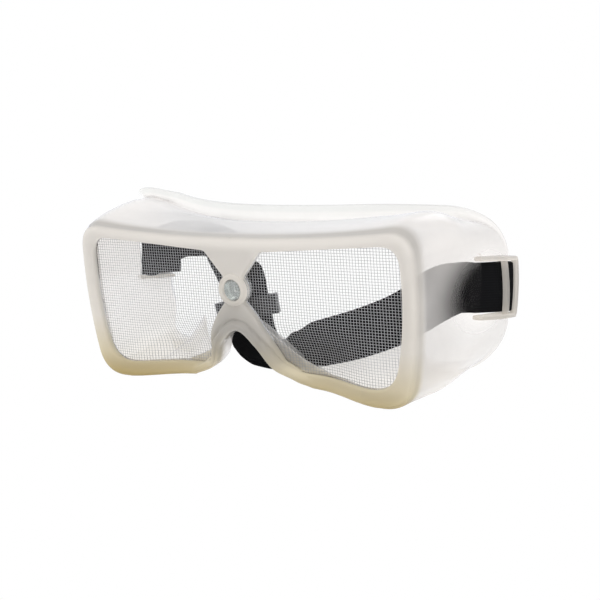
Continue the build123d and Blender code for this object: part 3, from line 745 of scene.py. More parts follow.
# The bars: distance out, depth, half sizes along the depth and outwards, and how far the ends
# bow forward and the bar leans.
MIDDLE_BAR = dict(x=89.0, depth=55.7, half_depth=1.1, half_out=1.15, bow=1.8, lean=0.12)
REAR_RIM = dict(x=89.35, depth=63.15, half_depth=0.95, half_out=1.35, bow=1.3, lean=0.0)


def arm(side, rise):
    """The upper or lower arm of a keeper: a bar whose outer face flares outwards in a soft step
    from the wall to the bars and drops a little at the rear."""
    depth = np.linspace(*ARM_DEPTHS, 45)
    top = (ARM_OUTER + ARM_FLARE * smooth(depth, *ARM_FLARE_DEPTHS)
           - ARM_DROP * smooth(depth, *ARM_DROP_DEPTHS))
    ease = tapered(depth - depth[0], ARM_CAP)
    centres = np.array([keeper_place(side, (x + ARM_INNER) / 2, d, rise)
                        for x, d in zip(top, depth)])
    across = np.tile(KEEPER_UP, (len(depth), 1))
    out = np.tile((side, 0.0, 0.0), (len(depth), 1))
    return swept(centres, across, out, ARM_HALF * ease, (top - ARM_INNER) / 2 * ease)


def keeper_bar(side, x, depth, half_depth, half_out, bow, lean):
    """A bar across the arms: its depth falls with the square of the rise, and with the rise."""
    rise = np.linspace(-KEEPER_REACH, KEEPER_REACH, 37)
    depths = depth - bow * (rise / KEEPER_REACH)**2 - lean * rise
    centres = np.array([keeper_place(side, x, d, r) for d, r in zip(depths, rise)])
    along = np.tile(keeper_way(0.0, 1.0), (len(rise), 1))
    out = np.tile((side, 0.0, 0.0), (len(rise), 1))
    ease = tapered(rise - rise[0], BAR_CAP)
    return swept(centres, along, out, half_depth * ease, half_out * ease)


keepers = []
for side in SIDES:
    keepers += [arm(side, ARM_RISE), arm(side, -ARM_RISE)]
    keepers += [keeper_bar(side, **bar) for bar in (MIDDLE_BAR, REAR_RIM)]
print("keeper bars and arms", len(keepers))

# %% [markdown]
# ## The finished cup
# Beside the nose the rim of the real cup is swept back, as it wraps the cheeks. A Simple Deform
# modifier would bend all of it, so the points there are moved by soft steps of their place. The
# material needs to know the depth before this sweep, and where the lip is. Two attributes on the
# points, flat_depth and lip_share, carry that. Blender welds seams, so they go on before the weld.
# %% Cup object
CHEEK_SWEEP, CHEEK_PINCH = 6.0, 0.6
SWEEP_START, SWEEP_END, SWEEP_UP, SWEEP_DEPTH = (8, 22), (34, 60), (12, 30), (8, 34)
KEEPER_MARK = 0.5


def swept_cheeks(points):
    """Points with the rim beside the nose moved back and in: the full way times soft steps of the
    distance out, the height and the depth."""
    x, z, depth = np.abs(points[:, 0]), points[:, 2], points[:, 1] - FRONT_Y
    sweep = smooth(x, *SWEEP_START) * (1 - smooth(x, *SWEEP_END)) * (1 - smooth(z, *SWEEP_UP))
    sweep = sweep * (1 - smooth(depth, *SWEEP_DEPTH))
    moved = points.copy()
    moved[:, 0] -= np.sign(points[:, 0]) * CHEEK_PINCH * sweep
    moved[:, 1] += CHEEK_SWEEP * sweep
    return moved


ring_shape = turned_ring(RING_PROFILE)
all_points, all_faces = joined([(cup_points, cup_faces), ring_shape] + keepers)
flat_depth = all_points[:, 1] - FRONT_Y
flat_depth[len(cup_points) + len(ring_shape[0]):] = KEEPER_MARK
lip_share = np.zeros(len(all_points))
lip_share[:len(cup_points)] = np.concatenate([half[2] for half in halves])
all_points[:len(cup_points)] = swept_cheeks(cup_points)
goggle_cup = make_mesh("goggle_cup", all_points, all_faces)
for mark_name, values in (("flat_depth", flat_depth), ("lip_share", lip_share)):
    mark = goggle_cup.data.attributes.new(mark_name, "FLOAT", "POINT")
    mark.data.foreach_set("value", values)
tidy_mesh(goggle_cup)
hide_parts("goggle_body")
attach(goggle_cup, "goggles")

# %% [markdown]
# ## Mesh lens
# The lens is plain woven steel wire: each wire passes over one crossing wire and under the next.
# A picture of a weave on one sheet would be lighter, but it would look printed on where the light
# comes through. So every wire is a thin tube with one ring of points at each crossing, clipped to
# the sheet's edge inside the rim, which makes the weave real and keeps each wire light.
# %% Woven wires
# WIRE is the distance from a wire's middle to the corners of its square cut.
PITCH_X, PITCH_Z, WIRE = 1.27, 1.11, 0.09
UPRIGHTS, LEVELS = range(-64, 65), range(62)
WIRE_SHIFT, SHORTEST = 0.003, 2
MESH_DEPTH, MESH_INSET = 3.4, 2.75
edge_t = np.linspace(0, 9, 900)
edge_right = outline(RIGHT, edge_t, MESH_DEPTH, MESH_INSET)
edge_left = -np.conj(outline(LEFT, edge_t, MESH_DEPTH, MESH_INSET))
sheet_edge = np.concatenate([edge_right, edge_left[::-1]])


def spans_along(level, horizontal):
    """Where a straight wire at this level lies inside the sheet's edge: (start, end) pairs of the
    places where it crosses the edge, in order."""
    a, b = sheet_edge, np.roll(sheet_edge, -1)
    if horizontal:
        fixed_a, fixed_b, free_a, free_b = a.imag, b.imag, a.real, b.real
    else:
        fixed_a, fixed_b, free_a, free_b = a.real, b.real, a.imag, b.imag
    hit = (fixed_a - level) * (fixed_b - level) < 0
    share = (level - fixed_a[hit]) / (fixed_b[hit] - fixed_a[hit])
    cuts = np.sort(mix(free_a[hit], free_b[hit], share))
    return [(cuts[k], cuts[k + 1]) for k in range(0, len(cuts) - 1, 2)
            if cuts[k + 1] - cuts[k] > SHORTEST]


def wire_tube(level, start, end, horizontal, index):
    """One wire: a square tube whose centre lies one wire radius in front of the sheet at every
    other crossing and as far behind it at the ones between."""
    pitch = PITCH_X if horizontal else PITCH_Z
    crossings = np.arange(math.ceil(start / pitch), math.floor(end / pitch) + 1)
    weave = np.where((crossings + index) % 2 == 0, 1.0, -1.0) * (1 if horizontal else -1) * WIRE
    places = np.concatenate([[start], crossings * pitch, [end]])
    weave = np.concatenate([[0], weave, [0]])
    same = np.full(len(places), level)
    x, z = (places, same) if horizontal else (same, places)
    centres = np.stack([x, FRONT_Y + MESH_DEPTH + weave, z], axis=1)
    beside_wire = np.array((0.0, 0, 1) if horizontal else (1.0, 0, 0))
    angles = np.arange(4) * np.pi / 2 + np.pi / 4
    ring = np.cos(angles)[:, None] * beside_wire + np.sin(angles)[:, None] * np.array((0.0, 1, 0))
    points = swept_cheeks((centres[:, None, :] + (ring * WIRE)[None, :, :]).reshape(-1, 3))
    numbers = np.arange(len(points)).reshape(len(centres), 4)
    return points, np.concatenate([grid_faces(numbers, closed_columns=True), numbers[:1],
                                   numbers[-1:, ::-1]])


tubes = []
for horizontal, pitch, indexes in ((False, PITCH_X, UPRIGHTS), (True, PITCH_Z, LEVELS)):
    for index in indexes:
        level = index * pitch + WIRE_SHIFT
        for start, end in spans_along(level, horizontal):
            tubes.append(wire_tube(level, start, end, horizontal, index))
woven_mesh = make_mesh("woven_mesh", *joined(tubes))
tidy_mesh(woven_mesh, weld=0.001)
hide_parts("mesh_lens")
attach(woven_mesh, "goggles")
print("wires", len(tubes))

# %% [markdown]
# ## Headband: its route
# The band is one strip of elastic webbing. It starts at the lap by the left keeper, goes out through
# the slot, round the back strip of the wall and in again, then crosses the inside of the cup in an
# S, turns round the right keeper and comes back on itself as a doubled tail that ends at the slide.
# A cloth simulation could drape it, but it wouldn't land where the photo shows it. So its stations
# are listed, the same ones as in the CAD strip, and smooth turns are worked out between.
# %% Headband route
# Shares of (half width, depth, height) of the cup, and the direction of the strip's width there.
ROUTE = (((-0.83, 0.43, 0.77), (-0.22, 0.05, 0.97)), ((-0.65, 0.38, 0.86), (-0.30, 0.35, 0.89)),
         ((-0.475, 0.40, 0.90), (-0.15, 0.75, 0.64)), ((-0.34, 0.45, 0.86), (0.35, 0.90, 0.25)),
         ((-0.27, 0.42, 0.75), (0.30, 0.94, 0.10)), ((-0.17, 0.38, 0.61), (0.90, 0.42, 0.05)),
         ((-0.13, 0.37, 0.285), (0.90, 0.42, 0.05)), ((-0.09, 0.345, 0.205), (0.60, 0.80, 0.00)),
         ((-0.01, 0.325, 0.155), (0.10, 0.95, 0.20)), ((0.12, 0.32, 0.185), (0.00, 0.85, 0.50)),
         ((0.30, 0.345, 0.25), (-0.20, 0.50, 0.84)), ((0.525, 0.39, 0.335), (-0.28, 0.25, 0.92)),
         ((0.725, 0.445, 0.44), (-0.20, 0.12, 0.97)))
STRAIGHT = (6, 7)
BAND_WIDTH, BAND_THICKNESS, BAND_STEP, TAIL_OVER = 19.0, 1.4, 1.9, 4.0
APPROACH = math.radians(29.0)
# Places round a keeper as (distance out, depth).
WRAP = ((82.8, 44.0), (87.1, 55.6), (87.1, 66.2), (82.8, 66.2), (82.8, 60.4), (81.14, 44.92))
LAP_START, MAIN_END = (77.95, 35.25), (76.3, 36.2)


def unit(v):
    """A vector of length one."""
    return v / np.linalg.norm(v)


def square_to(width, heading):
    """The part of a width direction that is square to the heading, at length one."""
    return unit(width - heading * width.dot(heading))


def band_route():
    """The strip's stations from lap to tail: (centre, width direction, heading or None). Each
    heading points from the station before to the one after. The tail follows the main run from
    the right keeper back to its straight part, one step away on the side of the faces."""
    size = np.array((TEMPLE_OUT[0], CUP_DEPTH, CROWN_TOP[0]))
    main = [np.array(place) * size + (0.0, FRONT_Y, 0.0) for place, _ in ROUTE]
    centres = [keeper_place(LEFT, *MAIN_END)] + main + [keeper_place(RIGHT, *MAIN_END)]
    widths = [KEEPER_UP] + [np.array(width) for _, width in ROUTE] + [KEEPER_UP]
    headings = [unit(b - a) for a, b in zip(centres, centres[2:])]
    headings.insert(0, keeper_way(math.sin(APPROACH), -math.cos(APPROACH)))
    headings.append(keeper_way(math.sin(APPROACH), math.cos(APPROACH)))
    straight = unit(centres[STRAIGHT[1]] - centres[STRAIGHT[0]])
    headings[STRAIGHT[0]] = headings[STRAIGHT[1]] = straight
    stations = [(keeper_place(LEFT, *place), KEEPER_UP, None) for place in (LAP_START,) + WRAP]
    stations += list(zip(centres, widths, headings))
    stations += [(keeper_place(RIGHT, *place), KEEPER_UP, None)
                 for place in WRAP[::-1] + (LAP_START,)]
    for k in reversed(range(STRAIGHT[0], len(centres) - 1)):
        offset = np.cross(headings[k], square_to(widths[k], headings[k])) * BAND_STEP
        over = straight * TAIL_OVER if k == STRAIGHT[0] else 0
        stations.append((centres[k] + offset - over, widths[k], -headings[k]))
    return stations


route = band_route()
print("band stations", len(route))

# %% [markdown]
# ## Headband: the strip
# Webbing is flat with soft edges. A curve with a bevel profile would be quick, but it twists where
# the curve turns and has no map along the strip. Here a flat section is swept with a width
# direction that is given at each station, and a UV map in metres runs along and across the strip,
# so the weave follows every turn.
# %% Headband sweep
FINE_STEP, CALM_TANGENTS = 0.9, 7
EDGE_POINTS = ((0.985, 0.75), (1.0, 0.0), (0.985, -0.75))


def lengths_one(vectors):
    """Rows of vectors, each brought to length one."""
    return vectors / np.linalg.norm(vectors, axis=1)[:, None]


def headings_of(stations):
    """Each station's heading: its own, or the mean of the directions before and after it."""
    centres = [centre for centre, _, _ in stations]
    spans = [unit(b - a) for a, b in zip(centres, centres[1:])]
    before, after = [spans[0]] + spans, spans + [spans[-1]]
    return [unit(a + b) if heading is None else heading
            for (_, _, heading), a, b in zip(stations, before, after)]


def fine_route(stations):
    """Fine centres, tangents and width directions: a cubic between stations, with the width
    direction mixed by a soft step. The widths are square to calmed tangents, so that the inner
    edge doesn't fold where the strip bends sharply."""
    headings = headings_of(stations)
    places, widths = [], []
    for k in range(len(stations) - 1):
        (a, width_a, _), (b, width_b, _) = stations[k:k + 2]
        h = np.linalg.norm(b - a)
        count = max(4, int(h / FINE_STEP))
        u = np.arange(count + (k == len(stations) - 2))[:, None] / count
        places.append(hermite(a, b, headings[k], headings[k + 1], h, u))
        widths.append(mix(unit(width_a), unit(width_b), smooth(u, 0, 1)))
    places, widths = np.concatenate(places), np.concatenate(widths)
    along = lengths_one(np.gradient(places, axis=0))
    calm = along.copy()
    for _ in range(CALM_TANGENTS):
        calm[1:-1] = (calm[:-2] + 2 * calm[1:-1] + calm[2:]) / 4
    calm = lengths_one(calm)
    return places, along, lengths_one(widths - calm * (widths * calm).sum(axis=1)[:, None])


def band_section():
    """The cut of the webbing, as (across, raised) in millimetres: a flat face of 21 points and
    three points round an edge, and the same turned by half a turn."""
    across, raised = np.array([(x, 1.0) for x in np.linspace(-0.95, 0.95, 21)]
                              + list(EDGE_POINTS)).T
    across, raised = across * (BAND_WIDTH / 2), raised * (BAND_THICKNESS / 2)
    return np.concatenate([across, -across]), np.concatenate([raised, -raised])


def sweep_band(stations, name):
    """The webbing as a mesh: the section laid along the width and the normal of each fine place.
    Its UV map is in metres, U along the strip and V across it."""
    places, along, widths = fine_route(stations)
    normal = lengths_one(np.cross(along, widths))
    across, raised = band_section()
    points = (places[:, None, :] + widths[:, None, :] * across[None, :, None]
              + normal[:, None, :] * raised[None, :, None])
    rows, count = points.shape[:2]
    numbers = np.arange(rows * count).reshape(rows, count)
    half = count // 2
    faces = [grid_faces(numbers, closed_columns=True)]
    faces += [strip(ring[:half], ring[half:][::-1]) for ring in (numbers[0], numbers[-1])]
    band = make_mesh(name, points.reshape(-1, 3), np.concatenate(faces))
    length = np.concatenate([[0], np.cumsum(np.linalg.norm(np.diff(places, axis=0), axis=1))])
    corner = np.zeros(len(band.data.loops), np.int64)
    band.data.loops.foreach_get("vertex_index", corner)
    uv = np.stack([length[corner // count], across[corner % count]], axis=1) * MM
    band.data.uv_layers.new(name="strip").data.foreach_set("uv", uv.ravel())
    tidy_mesh(band, weld=0)
    print(name, "length mm", round(float(length[-1]), 1), "rows", rows)
    return band


headband_webbing = sweep_band(route, "headband_webbing")
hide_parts("headband")
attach(headband_webbing, "goggles")

# %% [markdown]
# ## Stitches
# Six short stitches of thread hold the lap at the left keeper, and six more hem the tail's end.
# They could be painted on, but thread stands up and catches light. So each one is a thin bowed tube
# that dips into the webbing at both ends, as thread does.
# %% Stitch rows
STITCH_SPREAD, STITCH_HALF, STITCH_RADIUS = 8.3, 1.25, 0.22
STITCH_RISE, STITCH_DIP = 0.22, 0.42
STITCH_BACK = 2.4


def stitch_row(end, heading, across, out):
    """Six bowed stitches side by side on the band, a little before its end. Their height over the
    webbing falls with the fourth power of the distance from the stitch's middle."""
    origin = end - heading * STITCH_BACK + out * (BAND_THICKNESS / 2)
    shapes = []
    for place in np.linspace(-STITCH_SPREAD, STITCH_SPREAD, 6):
        s = np.linspace(-1, 1, 13)
        centres = (origin + across * place + heading * (s * STITCH_HALF)[:, None]
                   + out * (STITCH_RISE - STITCH_DIP * s**4)[:, None])
        sides = np.tile(across, (len(s), 1))
        lift = np.cross(lengths_one(np.gradient(centres, axis=0)), sides)
        size = np.full(len(s), STITCH_RADIUS)
        shapes.append(swept(centres, sides, lift, size, size, roundness=2.0, count=8))
    return joined(shapes)


lap_heading = keeper_way(math.sin(APPROACH), -math.cos(APPROACH))
lap_out = np.cross(lap_heading, KEEPER_UP)
lap_row = stitch_row(keeper_place(LEFT, *LAP_START), lap_heading, KEEPER_UP, lap_out)
tail_end, tail_width, tail_heading = route[-1]
tail_across = square_to(tail_width, tail_heading)
hem_row = stitch_row(tail_end, tail_heading, tail_across, np.cross(-tail_heading, tail_across))
lap_thread, hem_thread = make_mesh("lap_thread", *lap_row), make_mesh("hem_thread", *hem_row)
for thread, node in ((lap_thread, "lap_stitching"), (hem_thread, "hem_stitching")):
    tidy_mesh(thread, weld=0.0005)
    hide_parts(node)
    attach(thread, "goggles")

# %% [markdown]
# ## Carried CAD pieces
# The button, its cap and the adjuster slide are crisp moulded plastic. They could be built again
# here, but their CAD solids are already right, so they stay and only get small bevels, because no
# moulded edge is quite sharp and a bevel catches a thin line of light.
# %% Bevels on the hard pieces
SOFT_EDGES = {"bridge_button": 0.25, "bridge_cap": 0.25, "adjuster_slide": 0.35}
SHARP_ANGLE = math.radians(40)
for node, width in SOFT_EDGES.items():
    bevel = nodes[node].modifiers.new("soft edge", "BEVEL")
    bevel.width = width * MM
    bevel.segments = 3
    bevel.limit_method = "ANGLE"
    bevel.angle_limit = SHARP_ANGLE
    for polygon in nodes[node].data.polygons:
        polygon.use_smooth = False
print("bevelled", list(SOFT_EDGES))

# %% [markdown]
# ## A helper for materials
# Every finish here is a small network of shader nodes. They could be linked by hand in the Shader
# Editor. In a script the same few lines would repeat for each node, so `Nodes` holds them: `add`
# makes a node, sets or links its inputs by name or number and gives its output. The rest are short
# forms of `add` for the nodes that are used most.
# %% Node helper
WHITE = (1.0, 1.0, 1.0, 1.0)


class Nodes:
    """Adds and links the shader nodes of one material, or of the world."""

    def __init__(self, name, world=False):
        blocks, kind = (bpy.data.worlds, "World") if world else (bpy.data.materials, "Material")
        self.block = blocks.new(name)
        self.block.use_nodes = True
        self.tree = self.block.node_tree
        self.tree.nodes.clear()
        self.output = self.tree.nodes.new("ShaderNodeOutput" + kind)

    def add(self, kind, inputs=None, output=0, **settings):
        """A node with these inputs and settings: gives the output of that name or number."""
        node = self.tree.nodes.new("ShaderNode" + kind)
        for key, value in settings.items():
            setattr(node, key, value)
        for key, value in (inputs or {}).items():
            if isinstance(value, bpy.types.NodeSocket):
                self.tree.links.new(value, node.inputs[key])
            else:
                node.inputs[key].default_value = value
        return node.outputs[output]

    def place(self):
        """The place in metres. Every piece stands at the origin, so all of them share it."""
        return self.add("TexCoord", output="Object")

    def split(self, place):
        """The x, y and z of a place."""
        node = self.tree.nodes.new("ShaderNodeSeparateXYZ")
        self.tree.links.new(place, node.inputs["Vector"])
        return node.outputs

    def noise(self, place, scale, **more):
        """Soft random values from 0 to 1."""
        return self.add("TexNoise", {"Vector": place, "Scale": scale, **more}, output="Fac")

    def math(self, operation, *values):
        """One step of arithmetic."""
        return self.add("Math", dict(enumerate(values)), operation=operation)

    def step(self, value, low, high, first=0.0, last=1.0, **settings):
        """A value read from low..high onto first..last and held at both ends."""
        return self.add("MapRange", {"Value": value, "From Min": low, "From Max": high,
                                     "To Min": first, "To Max": last}, **settings)

    def ramp(self, value, stops):
        """A colour that runs through stops of (place, colour)."""
        node = self.tree.nodes.new("ShaderNodeValToRGB")
        self.tree.links.new(value, node.inputs["Fac"])
        elements = node.color_ramp.elements
        for element, (place, colour) in zip(elements, (stops[0], stops[-1])):
            element.position, element.color = place, (*colour, 1)
        for place, colour in stops[1:-1]:
            elements.new(place).color = (*colour, 1)
        return node.outputs["Color"]

    def bump(self, height, strength, distance):
        """A normal that is tilted as if the surface rose and fell with this height."""
        return self.add("Bump", {"Height": height, "Strength": strength, "Distance": distance})

    def blend(self, share, first, last):
        """The first shader at share 0, the last at share 1."""
        return self.add("MixShader", {0: share, 1: first, 2: last})

    def seen_ray(self):
        """1 for what the camera sees, directly or through clear plastic, and 0 for other light."""
        rays = self.tree.nodes.new("ShaderNodeLightPath").outputs
        return self.math("MAXIMUM", rays["Is Camera Ray"], rays["Is Transmission Ray"])

    def finish(self, shader):
        """Link the shader to the output and give the finished material or world."""
        self.tree.links.new(shader, self.output.inputs["Surface"])
        return self.block


def paint(piece, material):
    """Give a piece this one material."""
    piece.data.materials.clear()
    piece.data.materials.append(material)
    print(piece.name, "is", material.name)


print("forms of the helper", [form for form in vars(Nodes) if not form.startswith("_")])

# %% [markdown]
# ## Vinyl: its colour
# The cup is off-white vinyl that has yellowed a little. The foot and the rim round the nose are the
# most yellow, and light that has passed the thick lip comes out greyer. The rim also carries
# painted shade: it is darker round the nose arch and along its rounded edges. A painted texture
# could show that, but it would need a map of the whole cup. Here the colour is worked out from the
# place: a ramp up the height for the thin walls, a deeper ramp for the thick rim, and lip_share for
# the lip. flat_depth tells the rim from the walls, also where the rim is swept back.
# %% Vinyl colour
WALL_TINT = ((0.0, (0.94, 0.90, 0.83)), (0.10, (0.975, 0.95, 0.92)), (0.3, (0.985, 0.962, 0.945)),
             (0.8, (0.985, 0.958, 0.935)), (1.0, (0.975, 0.945, 0.92)))
RIM_TINT = ((0.0, (0.46, 0.36, 0.16)), (0.12, (0.70, 0.62, 0.45)), (0.32, (0.80, 0.755, 0.69)),
            (0.75, (0.78, 0.74, 0.69)), (1.0, (0.79, 0.75, 0.705)))
LIP_TINT = ((0.0, (1.0, 1.0, 1.0)), (1.0, (0.86, 0.885, 0.89)))
TINT_LEAN, TINT_TOP = 0.025, 76 * MM
# Painted shade on the rim: down to EDGE_SHADE along its rounded edges and to NOSE_SHADE round the
# nose arch.
RIM_DEPTHS, EDGE_DEPTHS, EDGE_SHADE = (3.0, 6.5), (0.3, 1.8), 0.80
NOSE_MIDDLE, NOSE_SHADE_REACH, NOSE_SHADE = (0.0, 0.0, 19 * MM), (11 * MM, 21 * MM), 0.66


def vinyl_colour(maker, place, flat_depth, rim):
    """The vinyl's colour: the wall's ramp times the lip's tint, and on the rim its own ramp times
    a painted shade that is darker round the nose arch and along the rounded edge."""
    x, _, z = maker.split(place)
    height = maker.step(maker.math("MULTIPLY_ADD", x, TINT_LEAN, z), 0.0, TINT_TOP)
    lip = maker.add("Attribute", output="Fac", attribute_name="lip_share")
    wall_tint = maker.add("Mix", {0: 1.0, 6: maker.ramp(height, WALL_TINT),
                                  7: maker.ramp(lip, LIP_TINT)},
                          output=2, data_type="RGBA", blend_type="MULTIPLY")
    nose_gap = maker.add("VectorMath", {0: maker.add("CombineXYZ", {"X": x, "Z": z}),
                                        1: NOSE_MIDDLE}, output="Value", operation="DISTANCE")
    # Painted shade: darker round the nose arch and along the rim's rounded edges.
    shade = maker.math("MULTIPLY", maker.step(nose_gap, *NOSE_SHADE_REACH, NOSE_SHADE, 1.0),
                       maker.step(flat_depth, *EDGE_DEPTHS, 1.0, EDGE_SHADE))
    rim_tint = maker.add("VectorMath", {0: maker.ramp(height, RIM_TINT), "Scale": shade},
                         operation="SCALE")
    return maker.add("Mix", {0: rim, 6: wall_tint, 7: rim_tint}, output=2, data_type="RGBA")


print("tints up the wall", len(WALL_TINT), "and up the rim", len(RIM_TINT))

# %% [markdown]
# ## Vinyl: how milky it is
# What touches the wall from behind shows nearly black through it, as the strap does beside the
# right keeper, and what is farther away fades in a white haze. A volume or subsurface scattering
# would do this truly, but both are slow and noisy in walls this thin. Here each wall mixes clear
# and scattering vinyl. The share of the scattering part is worked out from the place: little in
# the clear spot beside the right keeper, more on the crown and most on the rim and the keepers.
# The clear spot belongs to the cup and not to the strap, so it is there from every side.
# %% Vinyl
CLEAR_SPOT = (85 * MM, (FRONT_Y + 44) * MM, KEEPER_HEIGHT[RIGHT] * MM)
CLEAR_REACH, CLEAR_LEAST, CLEAR_TALL = (14 * MM, 38 * MM), 0.02, (1.0, 1.0, 1.6)
WALL_HAZE, RIM_HAZE = (0.56, 0.64), 0.34
KEEPER_REGION, KEEPER_HAZE = (86 * MM, 88 * MM), 0.42
CROWN_REGION, CROWN_HAZE = (56 * MM, 65 * MM), 0.25
WALL_BACK, RIM_BACK = 0.12, 0.45


def clear_spot(maker, place):
    """Near 0 beside the right keeper and 1 away from it: a soft step of the distance, which
    counts heights more than widths, so that the spot is wider than it is tall."""
    offset = maker.add("VectorMath", {0: place, 1: CLEAR_SPOT}, operation="SUBTRACT")
    taller = maker.add("VectorMath", {0: offset, 1: CLEAR_TALL}, operation="MULTIPLY")
    gap = maker.add("VectorMath", {0: taller}, output="Value", operation="LENGTH")
    return maker.step(gap, *CLEAR_REACH, CLEAR_LEAST, 1.0, interpolation_type="SMOOTHSTEP")


def milky_vinyl():
    """Vinyl that is part clear and part scattering. The scattering part sends light mostly on
    through the thin walls, and partly back on the crown and the rim. A weak gloss lies over it,
    and the inner side of each skin lets light out unchanged, so that each skin counts once."""
    maker = Nodes("milky_vinyl")
    place = maker.place()
    x, _, z = maker.split(place)
    flat_depth = maker.add("Attribute", output="Fac", attribute_name="flat_depth")
    rim = maker.step(flat_depth, *RIM_DEPTHS, 1.0, 0.0)
    colour = vinyl_colour(maker, place, flat_depth, rim)
    spot = clear_spot(maker, place)
    crown = maker.step(z, *CROWN_REGION, 0.0, CROWN_HAZE)
    keeper = maker.step(maker.math("ABSOLUTE", x), *KEEPER_REGION, 0.0, KEEPER_HAZE)
    cloud = maker.noise(place, 55.0, Detail=3.0)
    wall = maker.math("MULTIPLY", maker.step(cloud, 0.3, 0.7, *WALL_HAZE), spot)
    milk = maker.math("ADD", maker.math("MULTIPLY_ADD", rim, RIM_HAZE, wall),
                      maker.math("ADD", keeper, crown))

    grain = maker.bump(maker.noise(place, 900.0, Detail=2.0), 0.12, 0.0002)
    sent_back = maker.add("BsdfDiffuse", {"Color": colour, "Roughness": 0.3, "Normal": grain})
    sent_on = maker.add("BsdfTranslucent", {"Color": colour})
    back_share = maker.step(rim, 0.0, 1.0, maker.math("ADD", crown, WALL_BACK), RIM_BACK)
    scatter = maker.blend(back_share, sent_on, sent_back)
    body = maker.blend(milk, maker.add("BsdfTransparent", {"Color": colour}), scatter)
    gloss = maker.add("BsdfGlossy", {"Roughness": 0.22, "Normal": grain,
                                     "Color": (0.95, 0.96, 1.0, 1)})
    # Painted shade: the gloss is taken away in the clear spot, so the wall beside the right keeper
    # shows no reflection there.
    shine = maker.math("MULTIPLY", maker.add("Fresnel", {"IOR": 1.28}), spot)
    way_out = maker.add("BsdfTransparent", {"Color": WHITE})
    inner_side = maker.add("NewGeometry", output="Backfacing")
    return maker.finish(maker.blend(inner_side, maker.blend(shine, body, gloss), way_out))


paint(goggle_cup, milky_vinyl())

# %% [markdown]
# ## Steel wire
# The wires are drawn steel that has dulled a little. A flat grey would look like thread, and a
# polished metal would flicker on wires this thin. So it is a metal whose roughness follows a noise.
# %% Steel wire
def steel_wire():
    """Grey drawn wire, with a roughness of 0.3 to 0.5 by a fine noise."""
    maker = Nodes("steel_wire")
    rough = maker.step(maker.noise(maker.place(), 400.0), 0.0, 1.0, 0.3, 0.5)
    return maker.finish(maker.add("BsdfPrincipled", {
        "Base Color": (0.42, 0.42, 0.43, 1), "Metallic": 0.85, "Roughness": rough}))


paint(woven_mesh, steel_wire())

# %% [markdown]
# ## Elastic
# The headband is black ribbed elastic. A picture of a weave would need a file, so two waves over
# the strip's own UV map make it: ribs that run along the strip and weft that runs across it. They
# follow the strip in all its turns.
# %% Woven elastic
def woven_elastic():
    """Black elastic: the product of two waves gives both the height and the shade."""
    maker = Nodes("woven_elastic")
    place = maker.add("UVMap", uv_map="strip")
    ribs, weft = (maker.add("TexWave", {"Vector": place, "Scale": scale, "Distortion": bent},
                            output="Fac", bands_direction=way)
                  for scale, bent, way in ((330.0, 0.4, "Y"), (520.0, 0.6, "X")))
    weave = maker.math("MULTIPLY", ribs, weft)
    shade = maker.ramp(weave, ((0.0, (0.002, 0.002, 0.0025)), (1.0, (0.007, 0.007, 0.008))))
    return maker.finish(maker.add("BsdfPrincipled", {
        "Base Color": shade, "Roughness": 0.85, "Normal": maker.bump(weave, 0.15, 0.0001),
        "Specular IOR Level": 0.08}))


paint(headband_webbing, woven_elastic())

# %% [markdown]
# ## Black plastic and thread
# The slide is moulded plastic with a fine grain from its mould, and the stitches are twisted
# polyester. Both are a plain dark colour with a bump: a noise for the grain and slanting waves for
# the twist. Real relief this fine would cost many faces and show no more.
# %% Black plastic and thread
def bumped_black(name, colour, roughness, height, strength):
    """A dark colour under a bump of a tenth of a millimetre: height makes the pattern."""
    maker = Nodes(name)
    bump = maker.bump(height(maker), strength, 0.0001)
    return maker.finish(maker.add("BsdfPrincipled", {
        "Base Color": colour, "Roughness": roughness, "Normal": bump}))


def mould_grain(maker):
    """A fine noise."""
    return maker.noise(maker.place(), 1500.0)


def thread_twist(maker):
    """Fine slanting waves."""
    return maker.add("TexWave", {"Vector": maker.place(), "Scale": 900.0}, output="Fac",
                     bands_direction="DIAGONAL")


paint(nodes["adjuster_slide"], bumped_black("moulded_black", (0.010, 0.010, 0.011, 1), 0.45,
                                            mould_grain, 0.2))
black_thread = bumped_black("black_thread", (0.05, 0.05, 0.055, 1), 0.6, thread_twist, 0.5)
for thread in (lap_thread, hem_thread):
    paint(thread, black_thread)

# %% [markdown]
# ## Clear button
# The button between the windows and its cap are clear plastic, and the mesh shows through them. Full
# glass would bend the view too much at this size, so a weak refraction is mixed with a little
# haze, under a gloss that grows at grazing angles.
# %% Clear button
def clear_button():
    """Weak refraction with 18 percent of haze, under a gloss by Fresnel's share."""
    maker = Nodes("clear_button")
    haze = maker.ramp(maker.noise(maker.place(), 300.0), ((0.3, (0.86, 0.89, 0.87)),
                                                          (0.7, (0.93, 0.95, 0.94))))
    clear = maker.add("BsdfRefraction", {"Color": haze, "Roughness": 0.08, "IOR": 1.1})
    body = maker.blend(0.18, clear, maker.add("BsdfDiffuse", {"Color": haze}))
    gloss = maker.add("BsdfGlossy", {"Roughness": 0.08})
    return maker.finish(maker.blend(maker.add("Fresnel", {"IOR": 1.5}), body, gloss))


button_plastic = clear_button()
for node in ("bridge_button", "bridge_cap"):
    paint(nodes[node], button_plastic)

